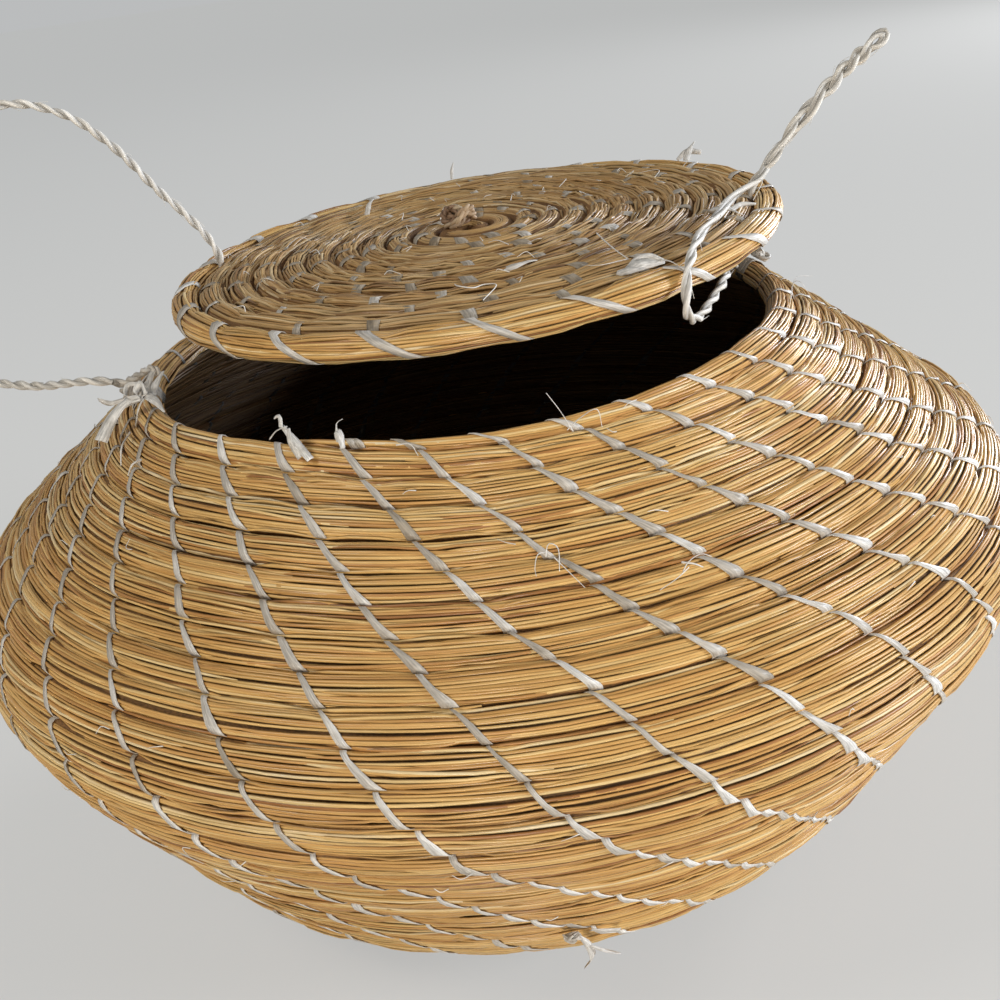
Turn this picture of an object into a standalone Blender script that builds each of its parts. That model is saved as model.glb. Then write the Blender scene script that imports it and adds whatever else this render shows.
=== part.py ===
"""Lidded coiled grass basket, carried and closed by two twine loops.

The body is one long bundle of grass stems, coiled from the middle of the base
out to the belly and in again to the rim. The lid is a second coil, a shallow
dome that hangs on two cords and slides down them onto the rim.

Frame: metres, +Z up, origin under the middle of the base, front at -Y.
Sizes are in millimetres, and MM turns them to metres.
"""

import math

import bmesh
import bpy
from mathutils import Matrix, Vector

MM = 0.001

# Coil of the body: height of a round along the wall, and depth through it
COIL_PITCH = 7.8
COIL_GAP = 0.52
COIL_THICKNESS = 7.6
COIL_START_TURN = 0.12
STRETCH_GAP = 0.3
RINGS_PER_TURN = 18

# Centre line of the wall: corners, and the arcs that round them
RIM_RADIUS = 96.0
RIM_HEIGHT = 157.1
BELLY_CORNER_RADIUS = 165.3
BELLY_CORNER_HEIGHT = 104.9
BASE_CORNER_RADIUS = 107.2
BELLY_ARC_RADIUS = 25.5
BASE_ARC_RADIUS = 60.5

# Where the coil ends on the rim, and how it thins out there
RIM_END_AZIMUTH = -119.0
RIM_TAPER_TURNS = 0.11
RIM_TAPER_SHARE = 0.3

# Lid: a dome of rounds that step out once a turn, so its edge is a circle
LID_RADIUS = 93.3
LID_ROUNDS = 11
LID_THICKNESS = 7.0
LID_COIL_GAP = 0.5
LID_DOME_HEIGHT = 3.5
LID_DOME_POWER = 1.6
LID_END_AZIMUTH = 100.0
LID_STEP_TURNS = 0.16
LID_STEPPED_FROM = 6
LID_LAST_RING = 17

# Where the lid hangs on its cords, over the mouth and a little back
LID_CENTRE = (5.4, 9.1, 181.8)
LID_TIP_TO_FRONT = 1.0
LID_TIP_TO_LEFT = 2.2

# Cords, and the holes between two rounds of the lid that they pass
CORD_DIAMETER = 2.8
CORD_HOLE_DIAMETER = 4.2
LEFT_CORD_SPACING = 6.0
RIGHT_CORD_SPACING = 4.5
LEFT_HOLE_AZIMUTH = 165.0
RIGHT_HOLE_AZIMUTH = -9.0

# Ribbon ties over the rim round
TIE_THICKNESS = 1.0
TIE_WIDTH = 5.0
TIE_CLEARANCE = 0.3
LEFT_TIE_AZIMUTH = -169.0
LEFT_END_TIE_AZIMUTH = 157.0
RIGHT_TIE_AZIMUTH = 11.0
RIM_END_TIE_AZIMUTH = -109.0

# Overhand knots, each a flat trefoil of its strand
KNOT_STRAND = 1.9
KNOT_SIZE = 1.25
KNOT_POINTS = 36
KNOT_SEAT_GAP = 0.3
LID_KNOT_STRAND = 2.6
LID_KNOT_SIZE = 1.75
LID_KNOT_NEST = 0.85
BASE_KNOT_RADIUS = 2.3
REPAIR_KNOT_AZIMUTH = -88.2
REPAIR_KNOT_ROUND = 20

# Sections of a round: share of its pitch, and share of its half depth
WALL_SECTION = ((0.0, 0.55), (0.5, 1.0), (1.0, 0.55), (1.0, -1.0), (0.0, -1.0))
BASE_SECTION = ((0.0, 1.0), (1.0, 1.0), (1.0, -0.55), (0.5, -1.0), (0.0, -0.55))
RIM_SECTION = ((0.0, 0.7), (0.5, 1.0), (1.0, 0.45), (1.0, -0.45), (0.5, -1.0), (0.0, -0.7))
LID_SECTION = ((0.0, -1.0), (1.0, -1.0), (1.0, 0.55), (0.5, 1.0), (0.0, 0.55))
LID_EDGE_SECTION = ((0.0, 0.6), (0.45, 1.0), (1.0, 0.45), (1.0, -0.45), (0.45, -1.0), (0.0, -0.6))

# Route of the left cord, from its tie, out and round, to the end tie below the lid
LEFT_CORD_ROUTE = (
    (-104.8, -19.8, 163.2),
    (-110.5, -19.6, 164.3),
    (-119.0, -17.0, 164.0),
    (-133.0, -10.0, 162.8),
    (-150.0, -2.0, 166.0),
    (-163.0, 6.0, 178.0),
    (-168.0, 12.0, 197.0),
    (-162.0, 17.0, 217.0),
    (-147.0, 21.0, 233.0),
    (-128.0, 24.0, 239.5),
    (-112.0, 26.0, 234.5),
    (-100.5, 28.0, 223.5),
    (-90.0, 30.0, 207.5),
    (-81.4, 30.8, 195.8),
    (-77.0, 31.0, 187.0),
    (-76.2, 31.2, 177.5),
    (-76.2, 31.9, 170.0),
    (-79.2, 33.6, 163.4),
    (-82.7, 35.1, 160.3),
)

# Route of the right cord: up through its hole, twisted to the fold and back,
# then over the lid's edge and under it again to the same tie
RIGHT_CORD_UP = (
    (88.0, 15.3, 161.0),
    (85.6, 13.0, 163.6),
    (86.2, 7.0, 167.4),
    (88.9, -1.5, 172.5),
    (89.3, -4.2, 180.0),
    (89.0, -4.3, 187.0),
    (90.0, -4.5, 191.2),
)
TWIST_START = (95.0, -4.8, 196.6)
TWIST_MIDDLE = (110.5, -5.0, 213.3)
TWIST_END = (124.8, -5.2, 224.6)
TWIST_TURNS = 1.5
TWIST_RADIUS = 1.8
TWIST_POINTS = 8
FOLD_REACH = 4.5
RIGHT_CORD_DOWN = (
    (90.0, -9.8, 192.9),
    (84.2, -13.2, 191.0),
    (77.6, -22.8, 190.2),
    (71.9, -34.2, 189.7),
    (64.4, -47.9, 188.9),
    (59.8, -59.2, 188.3),
    (57.2, -66.4, 187.2),
    (55.2, -71.5, 185.2),
    (54.2, -73.3, 181.4),
    (54.0, -73.4, 177.8),
    (54.8, -71.5, 174.3),
    (57.0, -66.5, 171.8),
    (60.8, -59.0, 170.2),
    (66.5, -48.0, 171.0),
    (72.5, -36.5, 172.5),
    (78.0, -20.0, 172.5),
    (81.8, -3.0, 170.5),
    (83.2, 10.0, 167.6),
    (84.6, 18.0, 163.8),
    (87.4, 18.8, 161.0),
)


class WallPath:
    """Centre line of the wall in a half plane, as lines joined by arcs."""

    def __init__(self, corners, arc_radii, run_on):
        self.pieces = []
        self.length = 0.0
        self.arc_middles = []
        start = Vector(corners[0])
        for corner, after, radius in zip(corners[1:-1], corners[2:], arc_radii):
            corner, after = Vector(corner), Vector(after)
            back = (start - corner).normalized()
            ahead = (after - corner).normalized()
            half_angle = back.angle(ahead) / 2
            cut = radius / math.tan(half_angle)
            middle = corner + (back + ahead).normalized() * radius / math.sin(half_angle)
            arc_start = corner + back * cut
            self.add_line(start, arc_start)
            self.add_arc(middle, arc_start, math.pi - 2 * half_angle)
            start = corner + ahead * cut
        self.add_line(start, Vector(corners[-1]), run_on)

    def add_line(self, start, end, run_on=0.0):
        """Add a straight piece, which may run on past its end."""
        length = (end - start).length
        self.pieces.append((self.length, "line", start, (end - start).normalized()))
        self.length += length
        self.run_on = run_on

    def add_arc(self, middle, start, sweep):
        """Add an arc that turns left through the sweep."""
        radius = (start - middle).length
        self.pieces.append((self.length, "arc", middle, start - middle))
        self.arc_middles.append(self.length + radius * sweep / 2)
        self.length += radius * sweep

    def at(self, distance):
        """Point and outward normal at a distance from the middle of the base."""
        begin, kind, anchor, detail = [
            piece for piece in self.pieces if piece[0] <= max(distance, 0.0)
        ][-1]
        run = distance - begin
        if kind == "line":
            point = anchor + detail * run
            tangent = detail
        else:
            arm = detail.copy()
            arm.rotate(Matrix.Rotation(run / detail.length, 2))
            point = anchor + arm
            tangent = Vector((-arm.y, arm.x)).normalized()
        return point, Vector((tangent.y, -tangent.x))


class LidPath:
    """Middle surface of the lid in a half plane, by distance from its middle."""

    def at(self, distance):
        """Point and upward normal at a radius."""
        share = max(distance, 0.0) / LID_RADIUS
        height = LID_DOME_HEIGHT * (1.0 - share ** LID_DOME_POWER)
        slope = -LID_DOME_HEIGHT * LID_DOME_POWER * share ** (LID_DOME_POWER - 1.0) / LID_RADIUS
        return Vector((distance, height)), Vector((-slope, 1.0)).normalized()


def section_ring(path, low, high, half_depth, azimuth, section):
    """Points of one section of a round, in millimetres."""
    points = []
    for along, across in section:
        point, normal = path.at(low + along * (high - low))
        place = point + normal * across * half_depth
        turned = (place.x * math.cos(azimuth), place.x * math.sin(azimuth), place.y)
        points.append(Vector(turned))
    return points


def closed_tube(name, rings, cyclic=False):
    """Object whose skin joins the rings, with a face on each open end."""
    mesh = bmesh.new()
    loops = [[mesh.verts.new(point * MM) for point in ring] for ring in rings]
    pairs = list(zip(loops, loops[1:]))
    if cyclic:
        pairs.append((loops[-1], loops[0]))
    for first, second in pairs:
        for index in range(len(first)):
            after = (index + 1) % len(first)
            mesh.faces.new((first[index], first[after], second[after], second[index]))
    if not cyclic:
        mesh.faces.new(loops[0])
        mesh.faces.new(loops[-1])
    return finished(name, mesh)


def finished(name, mesh):
    """Turn a bmesh into a smooth-shaded object in the scene."""
    bmesh.ops.recalc_face_normals(mesh, faces=mesh.faces)
    data = bpy.data.meshes.new(name)
    mesh.to_mesh(data)
    mesh.free()
    data.shade_smooth()
    data.set_sharp_from_angle(angle=math.radians(35))
    thing = bpy.data.objects.new(name, data)
    bpy.context.scene.collection.objects.link(thing)
    return thing


def least_gap(name, rings, per_turn):
    """Print the least gap between a round and the next, measured on points."""
    least = math.inf
    for ring, beyond in zip(rings, rings[per_turn:]):
        near = edge_samples(ring)
        far = edge_samples(beyond)
        least = min(least, min((a - b).length for a in near for b in far))
    print(f"{name}: least gap between rounds {least:.2f} mm")


def edge_samples(ring, count=6):
    """Points spread along the edges of a section."""
    samples = []
    for start, end in zip(ring, ring[1:] + ring[:1]):
        samples += [start.lerp(end, step / count) for step in range(count)]
    return samples


class BodyCoil:
    """The spiral of the body, counted in rings from its end on the rim."""

    def __init__(self):
        base_line = COIL_THICKNESS / 2
        self.path = WallPath(
            (
                (0.0, base_line),
                (BASE_CORNER_RADIUS, base_line),
                (BELLY_CORNER_RADIUS, BELLY_CORNER_HEIGHT),
                (RIM_RADIUS, RIM_HEIGHT),
            ),
            (BASE_ARC_RADIUS, BELLY_ARC_RADIUS),
            COIL_PITCH,
        )
        self.end = self.path.length + COIL_PITCH / 2
        self.step = COIL_PITCH / RINGS_PER_TURN

    def ring_index(self, distance):
        """Nearest ring to a distance from the middle of the base."""
        return round((self.end - distance) / self.step)

    def limits(self, index):
        """Lower and upper edge, half depth and azimuth of a ring."""
        centre = self.end - index * self.step
        low = centre - (COIL_PITCH - COIL_GAP) / 2
        high = centre + (COIL_PITCH - COIL_GAP) / 2
        turns = index / RINGS_PER_TURN
        share = 1.0
        if turns < RIM_TAPER_TURNS:
            share = RIM_TAPER_SHARE + (1.0 - RIM_TAPER_SHARE) * turns / RIM_TAPER_TURNS
        high = low + (high - low) * share
        half_depth = COIL_THICKNESS / 2 * (0.5 + 0.5 * share)
        azimuth = math.radians(RIM_END_AZIMUTH) + 2 * math.pi * turns
        return low, high, half_depth, azimuth

    def stretch(self, name, first, last, section):
        """One unbroken tube from ring first, nearer the rim, to ring last."""
        radius = self.path.at(self.end - first * self.step)[0].x
        shift = STRETCH_GAP / (2 * math.pi * radius) * RINGS_PER_TURN if first else 0.0
        indices = [first + shift] + list(range(first + 1, last + 1))
        rings = [section_ring(self.path, *self.limits(index), section) for index in indices]
        coil = closed_tube(name, rings)
        if last - first > RINGS_PER_TURN:
            least_gap(name, rings, RINGS_PER_TURN)
        return coil

    def build(self):
        """Base, lower wall, upper wall and rim, end to end on one spiral."""
        start = self.ring_index((COIL_START_TURN + 0.5) * COIL_PITCH)
        base_edge = self.ring_index(self.path.pieces[1][0])
        belly = self.ring_index(self.path.arc_middles[1])
        rim = RINGS_PER_TURN
        return [
            self.stretch("rim_coil", 0, rim, RIM_SECTION),
            self.stretch("upper_wall_coil", rim, belly, WALL_SECTION),
            self.stretch("lower_wall_coil", belly, base_edge, WALL_SECTION),
            self.stretch("base_coil", base_edge, start, BASE_SECTION),
        ]

    def rim_place(self, azimuth):
        """Limits of the rim round at an azimuth, and the pull-in of its facet there."""
        turns = math.radians(azimuth - RIM_END_AZIMUTH) / (2 * math.pi) % 1.0
        facet = 2 * math.pi / RINGS_PER_TURN
        offset = (turns * RINGS_PER_TURN) % 1.0 - 0.5
        pull_in = math.cos(facet / 2) / math.cos(offset * facet)
        return self.limits(turns * RINGS_PER_TURN), pull_in

    def rim_point(self, azimuth, along, across):
        """World point beside the rim round, in millimetres.

        along is measured up from the round's lower edge and across from its
        middle, outward.
        """
        (low, _, _, angle), pull_in = self.rim_place(azimuth)
        point, normal = self.path.at(low + along)
        place = point + normal * across
        radius = place.x * pull_in
        return Vector((radius * math.cos(angle), radius * math.sin(angle), place.y))

    def rim_frame(self, azimuth, along, across):
        """Matrix at such a point: Z outward, X up the wall, Y round the rim."""
        place = self.rim_point(azimuth, along, across)
        upward = (self.rim_point(azimuth, along + 1.0, across) - place).normalized()
        outward = (self.rim_point(azimuth, along, across + 1.0) - place).normalized()
        sideways = outward.cross(upward)
        turn = Matrix((upward, sideways, outward)).transposed().to_4x4()
        return Matrix.Translation(place) @ turn

    def wall_frame(self, azimuth, rounds_down, across):
        """Matrix beside the ridge of a round counted down from the rim."""
        turns = math.radians(azimuth - RIM_END_AZIMUTH) / (2 * math.pi) % 1.0
        centre = self.end - (rounds_down + turns) * COIL_PITCH
        point, normal = self.path.at(centre)
        place = point + normal * across
        facet = 2 * math.pi / RINGS_PER_TURN
        offset = (turns * RINGS_PER_TURN) % 1.0 - 0.5
        radius = place.x * math.cos(facet / 2) / math.cos(offset * facet)
        angle = math.radians(azimuth)
        around = Vector((math.cos(angle), math.sin(angle), 0.0))
        outward = around * normal.x + Vector((0.0, 0.0, normal.y))
        sideways = Vector((-math.sin(angle), math.cos(angle), 0.0))
        upward = sideways.cross(outward)
        turn = Matrix((upward, sideways, outward)).transposed().to_4x4()
        spot = around * radius + Vector((0.0, 0.0, place.y))
        return Matrix.Translation(spot) @ turn


def ribbon_tie(name, coil, azimuth):
    """Ribbon folded over the rim round, open at the bottom."""
    (low, high, half_depth, angle), _ = coil.rim_place(azimuth)
    rise = high - low
    inner_across = half_depth + TIE_CLEARANCE
    outer_across = inner_across + TIE_THICKNESS
    inner_top = rise + TIE_CLEARANCE
    outer_top = inner_top + TIE_THICKNESS
    foot = 0.12 * COIL_PITCH
    shoulder = 0.62
    outline = (
        (foot, outer_across),
        (rise * shoulder, outer_across),
        (outer_top, outer_across * shoulder),
        (outer_top, -outer_across * shoulder),
        (rise * shoulder, -outer_across),
        (foot, -outer_across),
        (foot, -inner_across),
        (rise * shoulder, -inner_across),
        (inner_top, -inner_across * shoulder),
        (inner_top, inner_across * shoulder),
        (rise * shoulder, inner_across),
        (foot, inner_across),
    )
    sideways = Vector((-math.sin(angle), math.cos(angle), 0.0)) * TIE_WIDTH / 2
    mesh = bmesh.new()
    points = [coil.rim_point(azimuth, along, across) for along, across in outline]
    side = [mesh.verts.new((point - sideways) * MM) for point in points]
    face = mesh.faces.new(side)
    grown = bmesh.ops.extrude_face_region(mesh, geom=[face])
    moved = [item for item in grown["geom"] if isinstance(item, bmesh.types.BMVert)]
    bmesh.ops.translate(mesh, verts=moved, vec=sideways * 2 * MM)
    return finished(name, mesh), (rise / 2, outer_across)


def trefoil(size, count):
    """Points of an overhand knot lying flat, about three sizes in radius."""
    points = []
    for step in range(count):
        angle = 2 * math.pi * step / count
        reach = size * (2.0 + math.cos(3 * angle))
        across = (reach * math.cos(2 * angle), reach * math.sin(2 * angle))
        points.append(Vector((*across, size * math.sin(3 * angle))))
    return points


def overhand_knot(name, frame, size, strand):
    """Knot of one strand, seated on the frame's XY plane with a small gap."""
    points = trefoil(size, KNOT_POINTS)
    seat = KNOT_SEAT_GAP + strand / 2 + size
    rings = []
    for index, point in enumerate(points):
        ahead = (points[(index + 1) % KNOT_POINTS] - points[index - 1]).normalized()
        side = ahead.cross(Vector((0, 0, 1))).normalized()
        top = side.cross(ahead)
        ring = []
        for corner in range(6):
            angle = 2 * math.pi * corner / 6
            spot = point + (side * math.cos(angle) + top * math.sin(angle)) * strand / 2
            ring.append(frame @ (spot + Vector((0, 0, seat))))
        rings.append(ring)
    return closed_tube(name, rings, cyclic=True)


def smooth_route(route, spacing):
    """Points at an even spacing on a smooth curve through the route."""
    stops = [Vector(point) for point in route]
    stops = [2 * stops[0] - stops[1]] + stops + [2 * stops[-1] - stops[-2]]
    fine = []
    for before, start, end, after in zip(stops, stops[1:], stops[2:], stops[3:]):
        for step in range(16):
            t = step / 16
            fine.append(
                0.5 * (2 * start + (end - before) * t
                       + (2 * before - 5 * start + 4 * end - after) * t * t
                       + (3 * start - before - 3 * end + after) * t * t * t)
            )
    fine.append(stops[-2])
    lengths = [0.0]
    for start, end in zip(fine, fine[1:]):
        lengths.append(lengths[-1] + (end - start).length)
    count = max(2, round(lengths[-1] / spacing))
    points = []
    index = 0
    for step in range(count + 1):
        target = lengths[-1] * step / count
        while index < len(fine) - 2 and lengths[index + 1] < target:
            index += 1
        span = lengths[index + 1] - lengths[index]
        points.append(fine[index].lerp(fine[index + 1], (target - lengths[index]) / span))
    return points, lengths[-1]


def twisted_pair():
    """Points up one strand of the twisted stretch, round the fold and down."""
    start, middle, end = Vector(TWIST_START), Vector(TWIST_MIDDLE), Vector(TWIST_END)
    along = (end - start).normalized()
    side = along.cross(Vector((0, 0, 1))).normalized()
    top = side.cross(along)
    strands = []
    for phase in (0.0, math.pi):
        strand = []
        for step in range(TWIST_POINTS + 1):
            share = step / TWIST_POINTS
            centre = start * (1 - share) * (1 - 2 * share)
            centre += middle * 4 * share * (1 - share) + end * share * (2 * share - 1)
            angle = phase + 2 * math.pi * TWIST_TURNS * share
            spread = (side * math.cos(angle) + top * math.sin(angle)) * TWIST_RADIUS
            strand.append(centre + spread)
        strands.append(strand)
    along = (end - middle).normalized()
    middle = (strands[0][-1] + strands[1][-1]) / 2
    fold = [
        strands[0][-1] + (strands[0][-1] - middle) * 0.35 + along * FOLD_REACH / 2,
        middle + along * FOLD_REACH,
        strands[1][-1] + (strands[1][-1] - middle) * 0.35 + along * FOLD_REACH / 2,
    ]
    return strands[0] + fold + strands[1][::-1]


def cord(name, route, spacing):
    """Twine along a route, as a bevelled curve with closed ends."""
    points, length = smooth_route(route, spacing)
    data = bpy.data.curves.new(name, "CURVE")
    data.dimensions = "3D"
    data.bevel_depth = CORD_DIAMETER / 2 * MM
    data.bevel_resolution = 2
    data.use_fill_caps = True
    spline = data.splines.new("POLY")
    spline.points.add(len(points) - 1)
    for knot, point in zip(spline.points, points):
        knot.co = (*(point * MM), 1.0)
    thing = bpy.data.objects.new(name, data)
    bpy.context.scene.collection.objects.link(thing)
    print(f"{name}: {length:.0f} mm long, {len(points)} points")
    return thing


class Lid:
    """The lid's coil, edge round, centre knot and cord holes."""

    def __init__(self):
        self.path = LidPath()
        self.pitch = LID_RADIUS / LID_ROUNDS
        tip_front = Matrix.Rotation(math.radians(LID_TIP_TO_FRONT), 4, "X")
        tip_left = Matrix.Rotation(math.radians(-LID_TIP_TO_LEFT), 4, "Y")
        self.place = Matrix.Translation(Vector(LID_CENTRE)) @ tip_front @ tip_left

    def boundary(self, turn):
        """Radius of the line between rounds, which steps out late in each turn."""
        full = math.floor(turn)
        part = turn - full
        ramp = max(0.0, (part - 1.0 + LID_STEP_TURNS) / LID_STEP_TURNS)
        stepped = ramp * ramp * (3.0 - 2.0 * ramp)
        share = min(1.0, full / LID_STEPPED_FROM)
        return self.pitch * (full + part + (stepped - part) * share)

    def ring(self, turn, section):
        """One section of the lid's coil, in world millimetres."""
        low = self.boundary(turn)
        high = min(self.boundary(turn + 1.0), LID_RADIUS)
        share = min(1.0, (high - low) / self.pitch)
        half_depth = LID_THICKNESS / 2 * (0.3 + 0.7 * share)
        azimuth = math.radians(LID_END_AZIMUTH) + 2 * math.pi * turn
        edges = (low + LID_COIL_GAP / 2, high - LID_COIL_GAP / 2)
        points = section_ring(self.path, *edges, half_depth, azimuth, section)
        return [self.place @ point for point in points]

    def coil(self, name, turns, section):
        """One unbroken tube through the given turns."""
        rings = [self.ring(turn, section) for turn in turns]
        if len(rings) > RINGS_PER_TURN:
            least_gap(name, rings, RINGS_PER_TURN)
        return closed_tube(name, rings)

    def hole_place(self, azimuth):
        """Middle of a cord hole, on the line inside the edge round."""
        radius = self.pitch * (LID_ROUNDS - 1)
        point, _ = self.path.at(radius)
        angle = math.radians(azimuth)
        return Vector((radius * math.cos(angle), radius * math.sin(angle), point.y))

    def hole_cutter(self, name, azimuth):
        """Rod that cuts a cord hole."""
        mesh = bmesh.new()
        depth = 3 * LID_THICKNESS * MM
        spot = self.place @ Matrix.Translation(self.hole_place(azimuth))
        matrix = Matrix.Translation(spot.to_translation() * MM) @ spot.to_3x3().to_4x4()
        bmesh.ops.create_cone(
            mesh, cap_ends=True, segments=10, depth=depth, matrix=matrix,
            radius1=CORD_HOLE_DIAMETER / 2 * MM, radius2=CORD_HOLE_DIAMETER / 2 * MM,
        )
        rod = finished(name, mesh)
        rod.hide_render = True
        rod.display_type = "WIRE"
        return rod

    def build(self):
        """Lid coil and edge round with both holes cut, and the centre knot."""
        last_full = LID_ROUNDS - 1
        inner = [COIL_START_TURN] + [
            step / RINGS_PER_TURN for step in range(3, last_full * RINGS_PER_TURN + 1)
        ]
        radius = self.pitch * last_full
        shift = STRETCH_GAP / (2 * math.pi * radius)
        outer = [last_full + shift] + [
            last_full + step / RINGS_PER_TURN for step in range(1, LID_LAST_RING + 1)
        ]
        coils = [
            self.coil("lid_coil", inner, LID_SECTION),
            self.coil("lid_edge_coil", outer, LID_EDGE_SECTION),
        ]
        cutters = [
            self.hole_cutter("left_hole_cutter", LEFT_HOLE_AZIMUTH),
            self.hole_cutter("right_hole_cutter", RIGHT_HOLE_AZIMUTH),
        ]
        for coil in coils:
            for cutter in cutters:
                cut = coil.modifiers.new(cutter.name, "BOOLEAN")
                cut.operation = "DIFFERENCE"
                cut.solver = "EXACT"
                cut.object = cutter
        top = LID_DOME_HEIGHT + LID_THICKNESS / 2 - LID_KNOT_NEST
        frame = self.place @ Matrix.Translation((0.0, 0.0, top))
        knot = overhand_knot("lid_centre_knot", frame, LID_KNOT_SIZE, LID_KNOT_STRAND)
        return coils + [knot]


def material(name, colour, roughness):
    """Plain material for a kind of piece."""
    finish = bpy.data.materials.new(name)
    finish.use_nodes = True
    shader = finish.node_tree.nodes["Principled BSDF"]
    shader.inputs["Base Color"].default_value = (*colour, 1.0)
    shader.inputs["Roughness"].default_value = roughness
    shader.inputs["Metallic"].default_value = 0.0
    return finish


def base_knot(coil):
    """Small lump of the folded start, in the eye of the base coil."""
    mesh = bmesh.new()
    start_angle = coil.limits(coil.ring_index((COIL_START_TURN + 0.5) * COIL_PITCH))[3]
    away = start_angle - math.radians(250.0)
    reach = 0.42 * COIL_PITCH
    place = Vector((reach * math.cos(away), reach * math.sin(away), COIL_THICKNESS / 2))
    bmesh.ops.create_uvsphere(
        mesh, u_segments=12, v_segments=8, radius=BASE_KNOT_RADIUS * MM,
        matrix=Matrix.Translation(place * MM),
    )
    return finished("base_centre_knot", mesh)


def main():
    """Clear the scene and build every piece."""
    for thing in list(bpy.data.objects):
        bpy.data.objects.remove(thing, do_unlink=True)

    coil = BodyCoil()
    grass = coil.build()
    lid = Lid()
    lid_pieces = lid.build()

    ties = []
    for name, azimuth, knot_name in (
        ("left_rim_tie", LEFT_TIE_AZIMUTH, "left_cord_knot"),
        ("left_end_tie", LEFT_END_TIE_AZIMUTH, None),
        ("right_rim_tie", RIGHT_TIE_AZIMUTH, "right_cord_knot"),
        ("rim_end_tie", RIM_END_TIE_AZIMUTH, None),
    ):
        tie, face = ribbon_tie(name, coil, azimuth)
        ties.append(tie)
        if knot_name:
            frame = coil.rim_frame(azimuth, *face)
            ties.append(overhand_knot(knot_name, frame, KNOT_SIZE, KNOT_STRAND))
    frame = coil.wall_frame(REPAIR_KNOT_AZIMUTH, REPAIR_KNOT_ROUND, COIL_THICKNESS / 2)
    ties.append(overhand_knot("belly_repair_knot", frame, KNOT_SIZE, KNOT_STRAND))

    right_route = [*RIGHT_CORD_UP, *twisted_pair(), *RIGHT_CORD_DOWN]
    cords = [
        cord("left_cord", LEFT_CORD_ROUTE, LEFT_CORD_SPACING),
        cord("right_cord", right_route, RIGHT_CORD_SPACING),
    ]
    start = base_knot(coil)

    straw = material("grass_coil", (0.52, 0.33, 0.14), 0.6)
    brown = material("twisted_start", (0.30, 0.17, 0.08), 0.7)
    ribbon = material("pale_ribbon", (0.72, 0.69, 0.62), 0.5)
    twine = material("twine", (0.68, 0.62, 0.52), 0.8)
    dressed = (
        (grass + lid_pieces[:2], straw),
        ([start, lid_pieces[2]], brown),
        (ties, ribbon),
        (cords, twine),
    )
    for pieces, finish in dressed:
        for piece in pieces:
            piece.data.materials.append(finish)


main()
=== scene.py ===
"""Dresses the lidded coiled grass basket: stems, stitches, ties, twine and studio.

Lengths in the classes are in millimetres, and MM turns them to metres when a
mesh is made. Angles named azimuth are in degrees round +Z, with the front at -90.
"""

from __future__ import annotations

import logging
import math
from collections.abc import Callable, Sequence
from dataclasses import dataclass, field
from enum import Enum

import bmesh
import bpy
import numpy as np
from bpy.types import Material, Mesh, Node, NodeTree, Object
from mathutils import Matrix, Vector


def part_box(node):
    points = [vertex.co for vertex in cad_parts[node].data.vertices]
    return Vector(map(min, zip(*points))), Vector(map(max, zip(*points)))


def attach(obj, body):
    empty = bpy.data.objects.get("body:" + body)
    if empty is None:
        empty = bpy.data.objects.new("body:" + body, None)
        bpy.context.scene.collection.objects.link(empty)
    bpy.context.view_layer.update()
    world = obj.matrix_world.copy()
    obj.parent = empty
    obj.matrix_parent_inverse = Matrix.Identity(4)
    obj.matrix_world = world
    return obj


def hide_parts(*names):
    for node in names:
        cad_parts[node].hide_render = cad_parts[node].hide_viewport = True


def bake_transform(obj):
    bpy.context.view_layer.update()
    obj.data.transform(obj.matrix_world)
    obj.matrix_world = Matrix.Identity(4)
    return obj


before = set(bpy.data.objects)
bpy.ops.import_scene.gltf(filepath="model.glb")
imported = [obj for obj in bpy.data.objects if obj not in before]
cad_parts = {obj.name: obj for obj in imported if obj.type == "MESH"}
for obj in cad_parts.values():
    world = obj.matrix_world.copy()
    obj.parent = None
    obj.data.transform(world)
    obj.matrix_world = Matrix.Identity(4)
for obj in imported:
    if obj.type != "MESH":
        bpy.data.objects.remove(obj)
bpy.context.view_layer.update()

MM = 0.001
TURN = 2 * math.pi
ALONE = 1.5
Spot = tuple[float, float, float]
log = logging.getLogger("coiled_basket")


class Body(Enum):
    """The two bodies that move against each other."""

    BASKET = "basket"
    LID = "lid"


class Slot(Enum):
    """Material slots of the record."""

    GRASS = "grass_coil"
    START = "twisted_start"
    RIBBON = "pale_ribbon"
    TWINE = "twine"


def linear(colour: str) -> tuple[float, float, float, float]:
    """Turn an sRGB hex colour to linear light.

    Args:
        colour: Six hex digits with a leading hash.

    Returns:
        Red, green, blue and alpha for a shader socket.
    """
    parts = [int(colour[start:start + 2], 16) / 255 for start in (1, 3, 5)]
    bent = [part / 12.92 if part <= 0.04045 else ((part + 0.055) / 1.055) ** 2.4 for part in parts]
    return (*bent, 1.0)


def add_node(tree: NodeTree, kind: str, settings: dict | None = None,
             links: dict | None = None) -> Node:
    """Add a shader node with its settings and its links.

    Args:
        tree: Node tree of a material or the world.
        kind: Blender's name for the node type.
        settings: Attribute names, or input names and numbers, with their values.
        links: Input names or numbers, with the output sockets that feed them, or
            with nodes whose first output does.

    Returns:
        The new node.
    """
    node = tree.nodes.new(kind)
    for key, value in (settings or {}).items():
        if isinstance(key, int) or key in node.inputs:
            node.inputs[key].default_value = value
        else:
            setattr(node, key, value)
    for key, source in (links or {}).items():
        socket = source.outputs[0] if isinstance(source, Node) else source
        tree.links.new(socket, node.inputs[key])
    return node


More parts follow.
